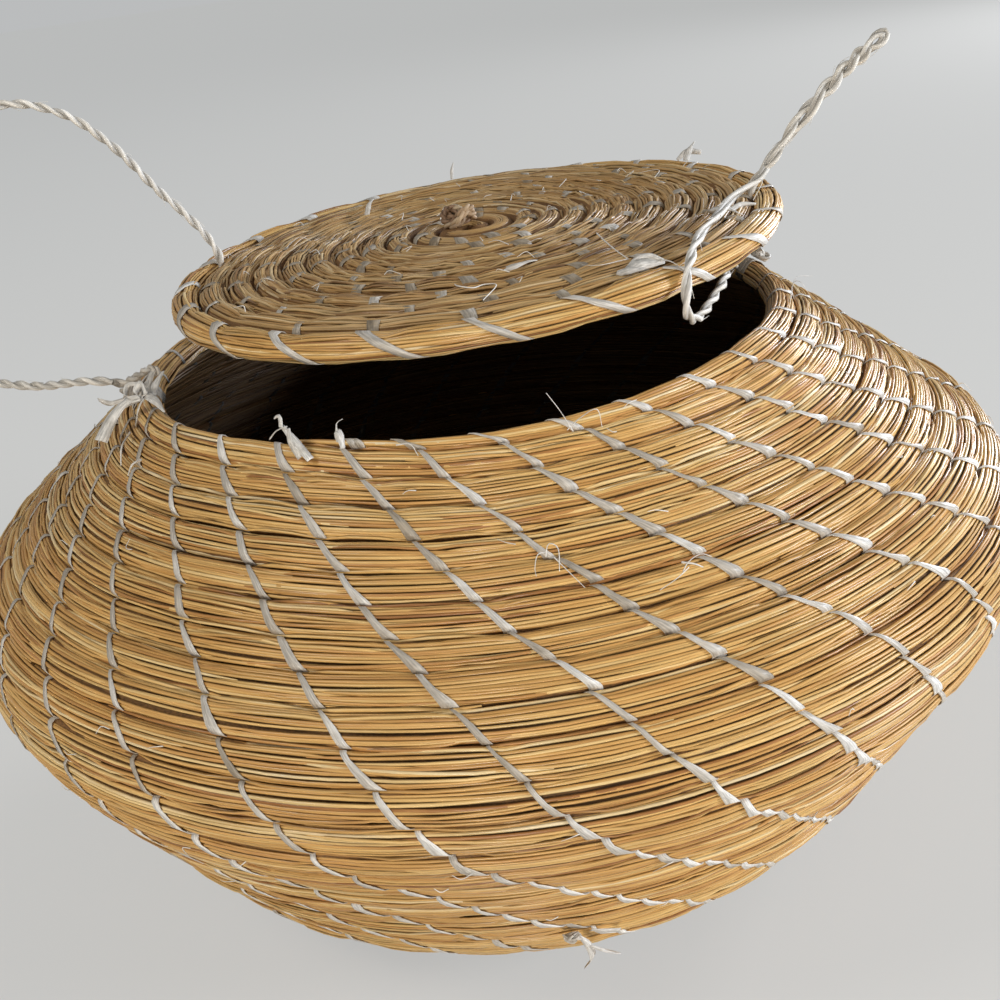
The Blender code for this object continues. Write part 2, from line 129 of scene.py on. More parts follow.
def set_stops(node: Node, stops: Sequence[tuple[float, str]]) -> Node:
    """Set the stops of a colour ramp.

    Args:
        node: A colour ramp node.
        stops: Places from 0 to 1, with their hex colours.

    Returns:
        The same node.
    """
    elements = node.color_ramp.elements
    while len(elements) < len(stops):
        elements.new(0.5)
    for element, (place, colour) in zip(elements, stops):
        element.position = place
        element.color = linear(colour)
    return node


@dataclass(frozen=True)
class StrandFinish:
    """Finish of a fibre piece that knows where on its strand each point is.

    The mesh carries three attributes: tint, one number for each strand, run, the
    distance along it in metres, and side. On a round strand side is 0 where it
    faces its bundle's middle and 1 where it faces away, or ALONE on a strand of
    no bundle. Across a ribbon it goes from 0.9 to 1, or from 0.2 to 0.3 inside the
    basket, where the finish darkens it as painted shade. Flank, the last field, is
    the brightness of the painted shade that stands for neighbours shading the sides
    that face the bundle's middle, and for shade on ribbon inside the basket.
    """

    name: str
    colours: tuple[tuple[float, str], ...]
    blotch: str
    blotch_share: float
    roughness: tuple[float, float]
    fleck_mm: float
    streaks: float
    streak_depth: float
    bump_mm: float
    painted_shade_level: float = 1.0

    def material(self) -> Material:
        """Build the node material of this finish.

        Returns:
            The material.
        """
        made = bpy.data.materials.new(self.name)
        made.use_nodes = True
        tree = made.node_tree
        shader = tree.nodes["Principled BSDF"]
        shader.inputs["IOR"].default_value = 1.5
        tint, run, side = (add_node(tree, "ShaderNodeAttribute", {"attribute_name": name}).outputs["Fac"]
                           for name in ("tint", "run", "side"))
        # The noise is read along the strand, across it, and far apart for each strand
        apart, along, across = (
            add_node(tree, "ShaderNodeMath", {"operation": "MULTIPLY", 1: factor}, {0: socket})
            for socket, factor in ((tint, 97.0), (run, 1000.0 / self.fleck_mm), (side, self.streaks)))
        patch = add_node(tree, "ShaderNodeCombineXYZ", links={0: along, 2: apart})
        line = add_node(tree, "ShaderNodeCombineXYZ", links={0: along, 1: across, 2: apart})
        fleck = add_node(tree, "ShaderNodeTexNoise", {"Scale": 1.0, "Detail": 3.0, "Roughness": 0.6},
                         {"Vector": patch})
        streak = add_node(tree, "ShaderNodeTexNoise", {"Scale": 1.4, "Detail": 2.0}, {"Vector": line})
        # Each row maps a range of its source, two numbers, to another range, two more
        # The side range darkens sides that face the bundle's middle, and ribbon inside the basket, as
        # painted shade
        shift, lines, painted_shade_factor, spots, gloss = (
            add_node(tree, "ShaderNodeMapRange", dict(enumerate(ends, 1)), {0: source})
            for source, ends in ((fleck, (0.3, 0.7, -0.18, 0.18)),
                                 (streak, (0.35, 0.65, 1 - self.streak_depth, 1.05)),
                                 (side, (0.5, 0.88, self.painted_shade_level, 1.0)),
                                 (fleck, (0.62, 0.74, 0.0, self.blotch_share)),
                                 (streak, (0.3, 0.7, *self.roughness))))
        mixed = add_node(tree, "ShaderNodeMath", {"operation": "ADD", "use_clamp": True},
                         {0: tint, 1: shift})
        body = set_stops(add_node(tree, "ShaderNodeValToRGB", links={0: mixed}), self.colours)
        shaded = add_node(tree, "ShaderNodeMath", {"operation": "MULTIPLY"}, {0: lines, 1: painted_shade_factor})
        streaked = add_node(tree, "ShaderNodeMix", {"data_type": "RGBA", "blend_type": "MULTIPLY", 0: 1.0},
                            {6: body, 7: shaded})
        stained = add_node(tree, "ShaderNodeMix", {"data_type": "RGBA", 7: linear(self.blotch)},
                           {0: spots, 6: streaked.outputs[2]})
        bump = add_node(tree, "ShaderNodeBump", {"Strength": 0.6, "Distance": self.bump_mm * MM},
                        {"Height": streak})
        for socket, name in ((stained.outputs[2], "Base Color"), (gloss.outputs[0], "Roughness"),
                             (bump.outputs[0], "Normal")):
            tree.links.new(socket, shader.inputs[name])
        return made


class Palette:
    """The finishes of the basket, each made once."""

    def __init__(self) -> None:
        """Build every material."""
        # Dried grass stems: golden, each a little different, with a satin skin on their
        # crowns and painted shade on the sides that face into the bundle
        self.wall_grass = StrandFinish(
            "dried_grass_stem", ((0.0, "#A06D3C"), (0.15, "#C08B4F"), (0.4, "#D9A963"),
                                 (0.65, "#E8C07A"), (0.85, "#F2D498"), (1.0, "#FAE7BE")),
            blotch="#9A6836", blotch_share=0.4, roughness=(0.22, 0.4), fleck_mm=34.0,
            streaks=3.0, streak_depth=0.18, bump_mm=0.05, painted_shade_level=0.5).material()
        # Stems inside the basket are darker browns: painted shade of the basket's inside
        self.shaded_inner_grass = StrandFinish(
            "painted_shade_inner_grass_stem", ((0.0, "#5A4127"), (0.4, "#7A5B38"), (0.8, "#8E6F48"),
                                      (1.0, "#A4875E")),
            blotch="#4A351F", blotch_share=0.4, roughness=(0.4, 0.6), fleck_mm=34.0,
            streaks=3.0, streak_depth=0.2, bump_mm=0.05, painted_shade_level=0.5).material()
        # The lid's stems are browner and darker than the wall's
        self.lid_grass = StrandFinish(
            "browned_grass_stem", ((0.0, "#8C6842"), (0.2, "#AE8551"), (0.5, "#CAA268"),
                                   (0.78, "#DAB880"), (1.0, "#ECD3A6")),
            blotch="#805731", blotch_share=0.4, roughness=(0.3, 0.5), fleck_mm=30.0,
            streaks=3.0, streak_depth=0.22, bump_mm=0.05, painted_shade_level=0.5).material()
        # Bruised stems folded tight at the start of a coil
        self.start_grass = StrandFinish(
            "folded_brown_grass", ((0.0, "#5F4736"), (0.4, "#8A6C52"), (0.75, "#AE8F70"),
                                   (1.0, "#D6C1A0")),
            blotch="#4A3424", blotch_share=0.4, roughness=(0.45, 0.65), fleck_mm=10.0,
            streaks=4.0, streak_depth=0.35, bump_mm=0.08).material()
        # Shade between the stems of a bundle
        self.bundle_heart = StrandFinish(
            "bundle_heart", ((0.0, "#7A5630"), (1.0, "#9C7344")),
            blotch="#553619", blotch_share=0.5, roughness=(0.7, 0.85), fleck_mm=14.0,
            streaks=22.0, streak_depth=0.5, bump_mm=0.2).material()
        # Ribbons of stripped leaf, pale and thin, with a faint shine, darkened as painted shade where they
        # pass inside the basket
        self.ribbon = StrandFinish(
            "stripped_leaf_ribbon", ((0.0, "#A89C8A"), (0.35, "#C3BAAC"), (0.7, "#D6D0C6"),
                                     (1.0, "#F0EEE9")),
            blotch="#B39F80", blotch_share=0.5, roughness=(0.34, 0.5), fleck_mm=6.0,
            streaks=50.0, streak_depth=0.35, bump_mm=0.08, painted_shade_level=0.15).material()
        # The same ribbon pulled thin over brown stems, which show through it
        self.lid_ribbon = StrandFinish(
            "thin_pulled_ribbon", ((0.0, "#8E7B60"), (0.35, "#A59680"), (0.7, "#C2B8A8"),
                                   (1.0, "#E2DDD4")),
            blotch="#8A7048", blotch_share=0.6, roughness=(0.36, 0.55), fleck_mm=5.0,
            streaks=50.0, streak_depth=0.4, bump_mm=0.08).material()
        # Two-ply leaf twine, chalky on its crowns, with painted shade between its plies
        self.twine = StrandFinish(
            "two_ply_leaf_twine", ((0.0, "#CDC1AC"), (0.4, "#EAE4D8"), (0.75, "#F6F3EC"),
                                   (1.0, "#FCFBF8")),
            blotch="#B09C7C", blotch_share=0.3, roughness=(0.42, 0.66), fleck_mm=8.0,
            streaks=5.0, streak_depth=0.3, bump_mm=0.12, painted_shade_level=0.62).material()


def along_line(places: np.ndarray) -> np.ndarray:
    """Distance along a line of points.

    Args:
        places: Points in order.

    Returns:
        One distance for each point, from 0.
    """
    return np.concatenate([[0.0], np.cumsum(np.linalg.norm(np.diff(places, axis=0), axis=1))])


@dataclass
class RoundedSection:
    """Outline of a bundle, between a circle and a square, walked by its length.

    Share 0 is the side towards the rim, 0.25 the outer face, 0.5 the side away
    from the rim, and 0.75 the inner face.
    """

    power: float

    def __post_init__(self) -> None:
        """Walk the outline once, in half degrees."""
        angle = np.linspace(0, TURN, 721)
        self.up = np.sign(np.cos(angle)) * np.abs(np.cos(angle)) ** (2 / self.power)
        self.out = np.sign(np.sin(angle)) * np.abs(np.sin(angle)) ** (2 / self.power)
        run = along_line(np.stack([self.up, self.out], axis=1))
        self.share = run / run[-1]

    def at(self, share: np.ndarray) -> tuple[np.ndarray, np.ndarray]:
        """Reach up and out at shares of the way round."""
        part = np.mod(share, 1.0)
        return np.interp(part, self.share, self.up), np.interp(part, self.share, self.out)


class SewnCoil:
    """What the stitches do to both coils: they pinch the bundle in."""

    pinch_share: float
    pinch_mm: float

    def from_stitch(self, turn: np.ndarray) -> np.ndarray:
        """Distance past the nearest stitch.

        Args:
            turn: Turns along the coil.

        Returns:
            Millimetres, less than 0 ahead of the stitch.
        """
        passed = self.stitch_count(turn)
        off = (passed - np.round(passed)) * self.mm_per_turn(turn)
        return off / self.stitches_per_turn(turn)

    def pinch(self, turn: np.ndarray) -> np.ndarray:
        """Share of its depth that the bundle keeps near its stitches."""
        return 1.02 - self.pinch_share * np.exp(-(self.from_stitch(turn) / self.pinch_mm) ** 2)


@dataclass
class WallCoil(SewnCoil):
    """The spiral of the body, counted in turns down from its end on the rim.

    Its centre line runs out over the base, round the base's corner, up and out,
    round the belly's corner and in to the rim. The rounds swell near swell_azimuth,
    below the thinned end, and the stitch lines cross the rounds at a slant.
    """

    pitch: float = 7.8
    thickness: float = 7.6
    base_corner_radius: float = 107.2
    belly_corner: tuple[float, float] = (165.3, 104.9)
    rim: tuple[float, float] = (96.0, 157.1)
    base_arc: float = 60.5
    belly_arc: float = 25.5
    end_azimuth: float = -119.0
    taper_turns: float = 0.22
    taper_share: float = 0.16
    swell_mm: float = 3.2
    swell_azimuth: float = -121.0
    swell_width: float = 22.0
    swell_turns: float = 7.0
    stitch_lines: int = 32
    stitch_azimuth: float = -124.3
    stitch_lean: float = 0.87
    wander_mm: float = 0.3
    pinch_share: float = 0.13
    pinch_mm: float = 4.2
    seam_shift: float = 3.6

    def __post_init__(self) -> None:
        """Walk the centre line of the wall once, in small steps."""
        steps, spacing, least_reach = 64, 0.5, 8.0
        self.section = RoundedSection(3.5)
        corners = [Vector((0.0, self.thickness / 2)),
                   Vector((self.base_corner_radius, self.thickness / 2)),
                   Vector(self.belly_corner), Vector(self.rim)]
        line: list[tuple[float, float]] = [tuple(corners[0])]
        for corner, after, radius in zip(corners[1:-1], corners[2:], (self.base_arc, self.belly_arc)):
            back = (Vector(line[-1]) - corner).normalized()
            ahead = (after - corner).normalized()
            half = back.angle(ahead) / 2
            middle = corner + (back + ahead).normalized() * radius / math.sin(half)
            arm = corner + back * radius / math.tan(half) - middle
            for step in range(steps + 1):
                turned = arm.copy()
                turned.rotate(Matrix.Rotation((math.pi - 2 * half) * step / steps, 2))
                line.append(tuple(middle + turned))
        last = (corners[-1] - Vector(line[-1])).normalized()
        line.extend([tuple(corners[-1]), tuple(corners[-1] + last * 2 * self.pitch)])
        places = np.array(line)
        runs = along_line(places)
        self.run = np.arange(0.0, runs[-1], spacing)
        self.radius = np.interp(self.run, runs, places[:, 0])
        self.height = np.interp(self.run, runs, places[:, 1])
        slope = np.stack([np.gradient(self.radius), np.gradient(self.height)], axis=1)
        slope /= np.linalg.norm(slope, axis=1)[:, None]
        self.outward = np.stack([slope[:, 1], -slope[:, 0]], axis=1)
        self.end = runs[-2] + self.pitch / 2
        self.below = np.arange(0.0, self.end, spacing)
        reach = np.maximum(np.interp(self.end - self.below, self.run, self.radius), least_reach)
        self.lean_turn = np.cumsum(spacing / reach) * self.stitch_lean / TURN

    def distance(self, turn: np.ndarray) -> np.ndarray:
        """Distance from the middle of the base to the round's middle."""
        return self.end - turn * self.pitch

    def share_left(self, turn: np.ndarray) -> np.ndarray:
        """Share of its size that the bundle has, less at its thinned end."""
        grown = self.taper_share + (1 - self.taper_share) * turn / self.taper_turns
        return np.clip(grown, self.taper_share, 1.0)

    def swell(self, turn: np.ndarray) -> np.ndarray:
        """Height that the rounds gain below the coil's end, which is sewn in tight.

        Args:
            turn: Turns along the coil.

        Returns:
            The height at each turn, in millimetres.
        """
        apart = np.mod(self.end_azimuth + 360 * turn - self.swell_azimuth + 180, 360) - 180
        fade = (apart / self.swell_width) ** 2 + turn / self.swell_turns
        return self.swell_mm * np.exp(-fade)

    def place(self, turn: np.ndarray, along: np.ndarray, across: np.ndarray) -> np.ndarray:
        """World places beside the bundle's middle.

        Args:
            turn: Turns along the coil.
            along: Distance along the wall, towards the rim.
            across: Distance out through the wall.

        Returns:
            The places, in millimetres.
        """
        far = self.distance(turn) + along + self.swell(turn)
        far = far - self.pitch / 2 * (1 - self.share_left(turn))
        wander = np.sin(TURN * 2.37 * turn + 0.6) + 0.6 * np.sin(TURN * 5.71 * turn)
        strayed = across + self.wander_mm * wander
        away, above = (np.interp(far, self.run, self.outward[:, axis]) for axis in (0, 1))
        reach = np.interp(far, self.run, self.radius) + strayed * away
        rise = np.interp(far, self.run, self.height) + strayed * above
        angle = math.radians(self.end_azimuth) + TURN * turn
        return np.stack([reach * np.cos(angle), reach * np.sin(angle), rise], axis=-1)

    def half_sizes(self, turn: np.ndarray) -> tuple[np.ndarray, np.ndarray]:
        """Half width along the wall and half depth through it."""
        share = self.share_left(turn)
        return self.pitch / 2 * share, self.thickness / 2 * (0.5 + 0.5 * share)

    def mm_per_turn(self, turn: np.ndarray) -> np.ndarray:
        """Length of one turn."""
        return TURN * np.maximum(np.interp(self.distance(turn), self.run, self.radius), 3.0)

    def stitch_count(self, turn: np.ndarray) -> np.ndarray:
        """Number of stitch lines passed at a turn.

        Args:
            turn: Turns along the coil.

        Returns:
            The numbers, whole where a stitch lies.
        """
        azimuth = self.end_azimuth / 360 + turn
        lean = np.interp(turn * self.pitch, self.below, self.lean_turn)
        return (azimuth - self.stitch_azimuth / 360 - lean) * self.stitch_lines

    def stitches_per_turn(self, turn: np.ndarray) -> np.ndarray:
        """Number of stitches in a turn."""
        return np.full_like(turn, self.stitch_lines)


@dataclass
class LidCoil(SewnCoil):
    """The spiral of the lid, counted in turns out from its middle.

    The lid domes up by dome millimetres. From the turn stepped_from on, a round
    keeps its radius and steps out over the last step_turns of its turn.
    """

    radius: float = 93.3
    rounds: int = 11
    thickness: float = 7.0
    gap: float = 0.1
    dome: float = 3.5
    dome_power: float = 1.6
    end_azimuth: float = 100.0
    step_turns: float = 0.16
    stepped_from: int = 6
    centre: Spot = (5.4, 9.1, 181.8)
    tip_to_front: float = 1.0
    tip_to_left: float = 2.2
    arms: int = 22
    arm_azimuth: float = -84.0
    arm_lean: float = 0.76
    edge_stitches: int = 21
    edge_azimuth: float = -21.7
    pinch_share: float = 0.24
    pinch_mm: float = 3.6
    seam_shift: float = 0.0

    def __post_init__(self) -> None:
        """Settle where the lid hangs."""
        self.section = RoundedSection(2.6)
        front = Matrix.Rotation(math.radians(self.tip_to_front), 4, "X")
        left = Matrix.Rotation(math.radians(-self.tip_to_left), 4, "Y")
        self.seat = Matrix.Translation(Vector(self.centre)) @ front @ left
        self.turned = np.array(self.seat.to_3x3())
        self.pitch = self.radius / self.rounds

    def on_seat(self, flat: np.ndarray) -> np.ndarray:
        """Carry places from the level lid to where it hangs."""
        return flat @ self.turned.T + np.array(self.centre)

    def boundary(self, turn: np.ndarray) -> np.ndarray:
        """Radius of the line between rounds, which steps out late in each turn.

        Args:
            turn: Turns along the coil.

        Returns:
            The radius at each turn, in millimetres.
        """
        full = np.floor(turn)
        part = turn - full
        ramped = np.clip((part - 1 + self.step_turns) / self.step_turns, 0.0, 1.0)
        stepped = ramped * ramped * (3 - 2 * ramped)
        share = np.clip(full / self.stepped_from, 0.0, 1.0)
        return np.maximum(self.pitch * (full + part + (stepped - part) * share), 0.0)

    def edges(self, turn: np.ndarray) -> tuple[np.ndarray, np.ndarray]:
        """Inner and outer radius of the bundle."""
        return self.boundary(turn), np.minimum(self.boundary(turn + 1), self.radius)

    def domed(self, reach: np.ndarray | float) -> np.ndarray | float:
        """Height that the lid domes up at a distance from its middle."""
        return self.dome * (1 - (reach / self.radius) ** self.dome_power)

    def place(self, turn: np.ndarray, along: np.ndarray, across: np.ndarray) -> np.ndarray:
        """World places beside the bundle's middle.

        Args:
            turn: Turns along the coil.
            along: Distance out from the middle of the lid.
            across: Distance up through the lid.

        Returns:
            The places, in millimetres.
        """
        low, high = self.edges(turn)
        reach = np.maximum((low + high) / 2 + along, 0.0)
        rise = self.domed(reach) + across
        rise = rise + 0.15 * np.sin(TURN * 2.37 * turn + 0.6)
        angle = math.radians(self.end_azimuth) + TURN * turn
        return self.on_seat(np.stack([reach * np.cos(angle), reach * np.sin(angle), rise], axis=-1))

    def half_sizes(self, turn: np.ndarray) -> tuple[np.ndarray, np.ndarray]:
        """Half width along the lid and half depth through it.

        Args:
            turn: Turns along the coil.

        Returns:
            The two at each turn, in millimetres.
        """
        low, high = self.edges(turn)
        share = np.clip((high - low) / self.pitch, 0.0, 1.0)
        return np.maximum((high - low - self.gap) / 2, 0.3), self.thickness / 2 * (0.3 + 0.7 * share)

    def mm_per_turn(self, turn: np.ndarray) -> np.ndarray:
        """Length of one turn."""
        low, high = self.edges(turn)
        return TURN * np.maximum((low + high) / 2, 3.0)

    def stitch_count(self, turn: np.ndarray) -> np.ndarray:
        """Number of stitches passed at a turn.

        Args:
            turn: Turns along the coil.

        Returns:
            The numbers, whole where a stitch lies.
        """
        low, high = self.edges(turn)
        lean = -self.arm_lean * np.log(np.maximum((low + high) / 2, 3.0) / self.radius) / TURN
        azimuth = self.end_azimuth / 360 + turn
        return np.where(turn < self.rounds - 1,
                        (azimuth - self.arm_azimuth / 360 - lean) * self.arms,
                        (azimuth - self.edge_azimuth / 360) * self.edge_stitches)

    def stitches_per_turn(self, turn: np.ndarray) -> np.ndarray:
        """Number of stitches in a turn."""
        return np.where(turn < self.rounds - 1, self.arms, self.edge_stitches)


Coil = WallCoil | LidCoil


def crossings(coil: Coil, first: float, last: float) -> np.ndarray:
    """Turns at which a coil meets its stitch lines.

    Args:
        coil: The wall's or the lid's coil.
        first: Turn to start from.
        last: Turn to stop at.

    Returns:
        The turns, in order.
    """
    fine = np.arange(first, last, 0.002)
    passed = coil.stitch_count(fine)
    whole = np.arange(math.ceil(passed.min()), math.floor(passed.max()) + 1)
    order = np.argsort(passed)
    return np.sort(np.interp(whole, passed[order], fine[order]))


def mark(mesh: Mesh, name: str, values: np.ndarray) -> None:
    """Write one number for each vertex as a mesh attribute."""
    attribute = mesh.attributes.new(name, "FLOAT", "POINT")
    attribute.data.foreach_set("value", values.astype(np.float32))


def dressed(name: str, mesh: Mesh, finish: Material, body: Body | None,
            slot: Slot, nodes: Sequence[str] = ()) -> Object:
    """Put a mesh in the scene as a finished piece.

    Args:
        name: Name of the piece.
        mesh: Its mesh, already in place.
        finish: Its material.
        body: The body that it rides on, or None for a piece on no body.
        slot: A material slot; not used.
        nodes: The solids that it stands for.

    Returns:
        The object.
    """
    mesh.materials.clear()
    mesh.materials.append(finish)
    piece = bpy.data.objects.new(name, mesh)
    bpy.context.scene.collection.objects.link(piece)
    if body:
        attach(piece, body.value)
    if nodes:
        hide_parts(*nodes)
    log.info("%s: %d faces", name, len(mesh.polygons))
    return piece


@dataclass
class Strands:
    """Round strands gathered for one mesh: places, thickness and tint."""

    places: list[np.ndarray] = field(default_factory=list)
    radii: list[np.ndarray] = field(default_factory=list)
    tints: list[float] = field(default_factory=list)
    inward: list[np.ndarray] = field(default_factory=list)

    def add(self, places: np.ndarray, radii: np.ndarray, tint: float,
            middle: np.ndarray | None = None) -> None:
        """Add one strand.

        Args:
            places: Points along the strand, in millimetres.
            radii: Radius at each point, in millimetres.
            tint: Number from 0 to 1 that picks the strand's colour.
            middle: Middle of its bundle beside each point, or None for a lone strand.
        """
        self.places.append(places)
        self.radii.append(radii)
        self.tints.append(tint)
        self.inward.append(np.zeros_like(places) if middle is None else middle - places)

    def add_tapered(self, places: np.ndarray, thick: float, thin: float, tint: float) -> None:
        """Add one lone strand that thins from its start to its end."""
        self.add(places, np.linspace(thick, thin, len(places)), tint)

    def facing(self, mesh: Mesh, sides: int) -> np.ndarray:
        """How far each vertex faces away from its bundle's middle.

        Args:
            mesh: The strands' mesh.
            sides: Sides of a strand.

        Returns:
            Numbers from 0 to 1, or ALONE.
        """
        tiny = 1e-6
        spots = np.empty(len(mesh.vertices) * 3, np.float32)
        mesh.vertices.foreach_get("co", spots)
        off = spots.reshape(-1, 3) / MM - np.repeat(np.concatenate(self.places), sides, axis=0)
        inward = np.repeat(np.concatenate(self.inward), sides, axis=0)
        sizes = np.linalg.norm(off, axis=1) * np.linalg.norm(inward, axis=1)
        cosine = np.sum(off * inward, axis=1) / np.maximum(sizes, tiny)
        return np.where(sizes < tiny, ALONE, 0.5 - 0.5 * cosine)

    def mesh(self, name: str, sides: int = 4) -> Mesh:
        """Bevel the strands as one curve and turn it into a mesh.

        Args:
            name: Name of the mesh.
            sides: Sides of a strand, an even number from 4.

        Returns:
            The mesh, with its tint, run and side attributes.
        """
        data = bpy.data.curves.new(name, "CURVE")
        data.dimensions = "3D"
        data.bevel_depth = MM
        data.bevel_resolution = (sides - 4) // 2
        for places, radii in zip(self.places, self.radii):
            spline = data.splines.new("POLY")
            spline.points.add(len(places) - 1)
            rows = np.concatenate([places * MM, np.ones((len(places), 1))], axis=1)
            spline.points.foreach_set("co", rows.ravel())
            spline.points.foreach_set("radius", radii.ravel())
        holder = bpy.data.objects.new(name, data)
        bpy.context.scene.collection.objects.link(holder)
        seen = holder.evaluated_get(bpy.context.evaluated_depsgraph_get())
        mesh = bpy.data.meshes.new_from_object(seen)
        bpy.data.objects.remove(holder)
        bpy.data.curves.remove(data)
        runs = [np.repeat(along_line(places), sides) * MM for places in self.places]
        mark(mesh, "tint", np.repeat(self.tints, [len(run) for run in runs]))
        mark(mesh, "run", np.concatenate(runs))
        mark(mesh, "side", self.facing(mesh, sides))
        mesh.shade_smooth()
        return mesh

    def piece(self, name: str, finish: Material, body: Body | None, slot: Slot,
              nodes: Sequence[str] = (), sides: int = 4) -> Object:
        """Put the strands in the scene as one finished piece, as dressed does."""
        return dressed(name, self.mesh(name, sides), finish, body, slot, nodes)


def bent_grid(name: str, columns: int, rows: int,
              place: Callable[[np.ndarray, np.ndarray], np.ndarray], closed: bool,
              keep: Callable[[int], bool] | None = None,
              thickness: float = 0.0) -> tuple[Mesh, np.ndarray, np.ndarray]:
    """Bend a flat grid round a form.

    Args:
        name: Name of the mesh.
        columns: Points across the grid.
        rows: Points along the grid.
        place: Turns column and row numbers into places, in millimetres.
        closed: Whether the last row is welded to the first.
        keep: Says which columns of faces stay, or None for all.
        thickness: Wall thickness in millimetres, 0 for none.

    Returns:
        The mesh, with the column and the row of each of its vertices.
    """
    sheet = bmesh.new()
    count = rows + 1 if closed else rows
    column_layer = sheet.verts.layers.int.new("column")
    row_layer = sheet.verts.layers.int.new("row")
    bmesh.ops.create_grid(sheet, x_segments=columns - 1, y_segments=count - 1, size=1.0)
    numbers = np.arange(columns * count)
    column, row = numbers % columns, numbers // columns % rows
    places = place(column, row) * MM
    for vertex, spot, across, along in zip(sheet.verts, places, column.tolist(), row.tolist()):
        vertex.co = spot
        vertex[column_layer] = across
        vertex[row_layer] = along
    if keep:
        gone = [face for index, face in enumerate(sheet.faces) if not keep(index % (columns - 1))]
        bmesh.ops.delete(sheet, geom=gone, context="FACES")
    if closed:
        bmesh.ops.remove_doubles(sheet, verts=sheet.verts, dist=1e-6)
    if thickness:
        bmesh.ops.recalc_face_normals(sheet, faces=sheet.faces)
        bmesh.ops.solidify(sheet, geom=list(sheet.faces), thickness=thickness * MM)
    elif closed:
        ends = [edge for edge in sheet.edges if edge.is_boundary]
        bmesh.ops.holes_fill(sheet, edges=ends, sides=0)
    bmesh.ops.recalc_face_normals(sheet, faces=sheet.faces)
    across = np.array([vertex[column_layer] for vertex in sheet.verts])
    along = np.array([vertex[row_layer] for vertex in sheet.verts])
    mesh = bpy.data.meshes.new(name)
    sheet.to_mesh(mesh)
    sheet.free()
    mesh.shade_smooth()
    return mesh, across, along


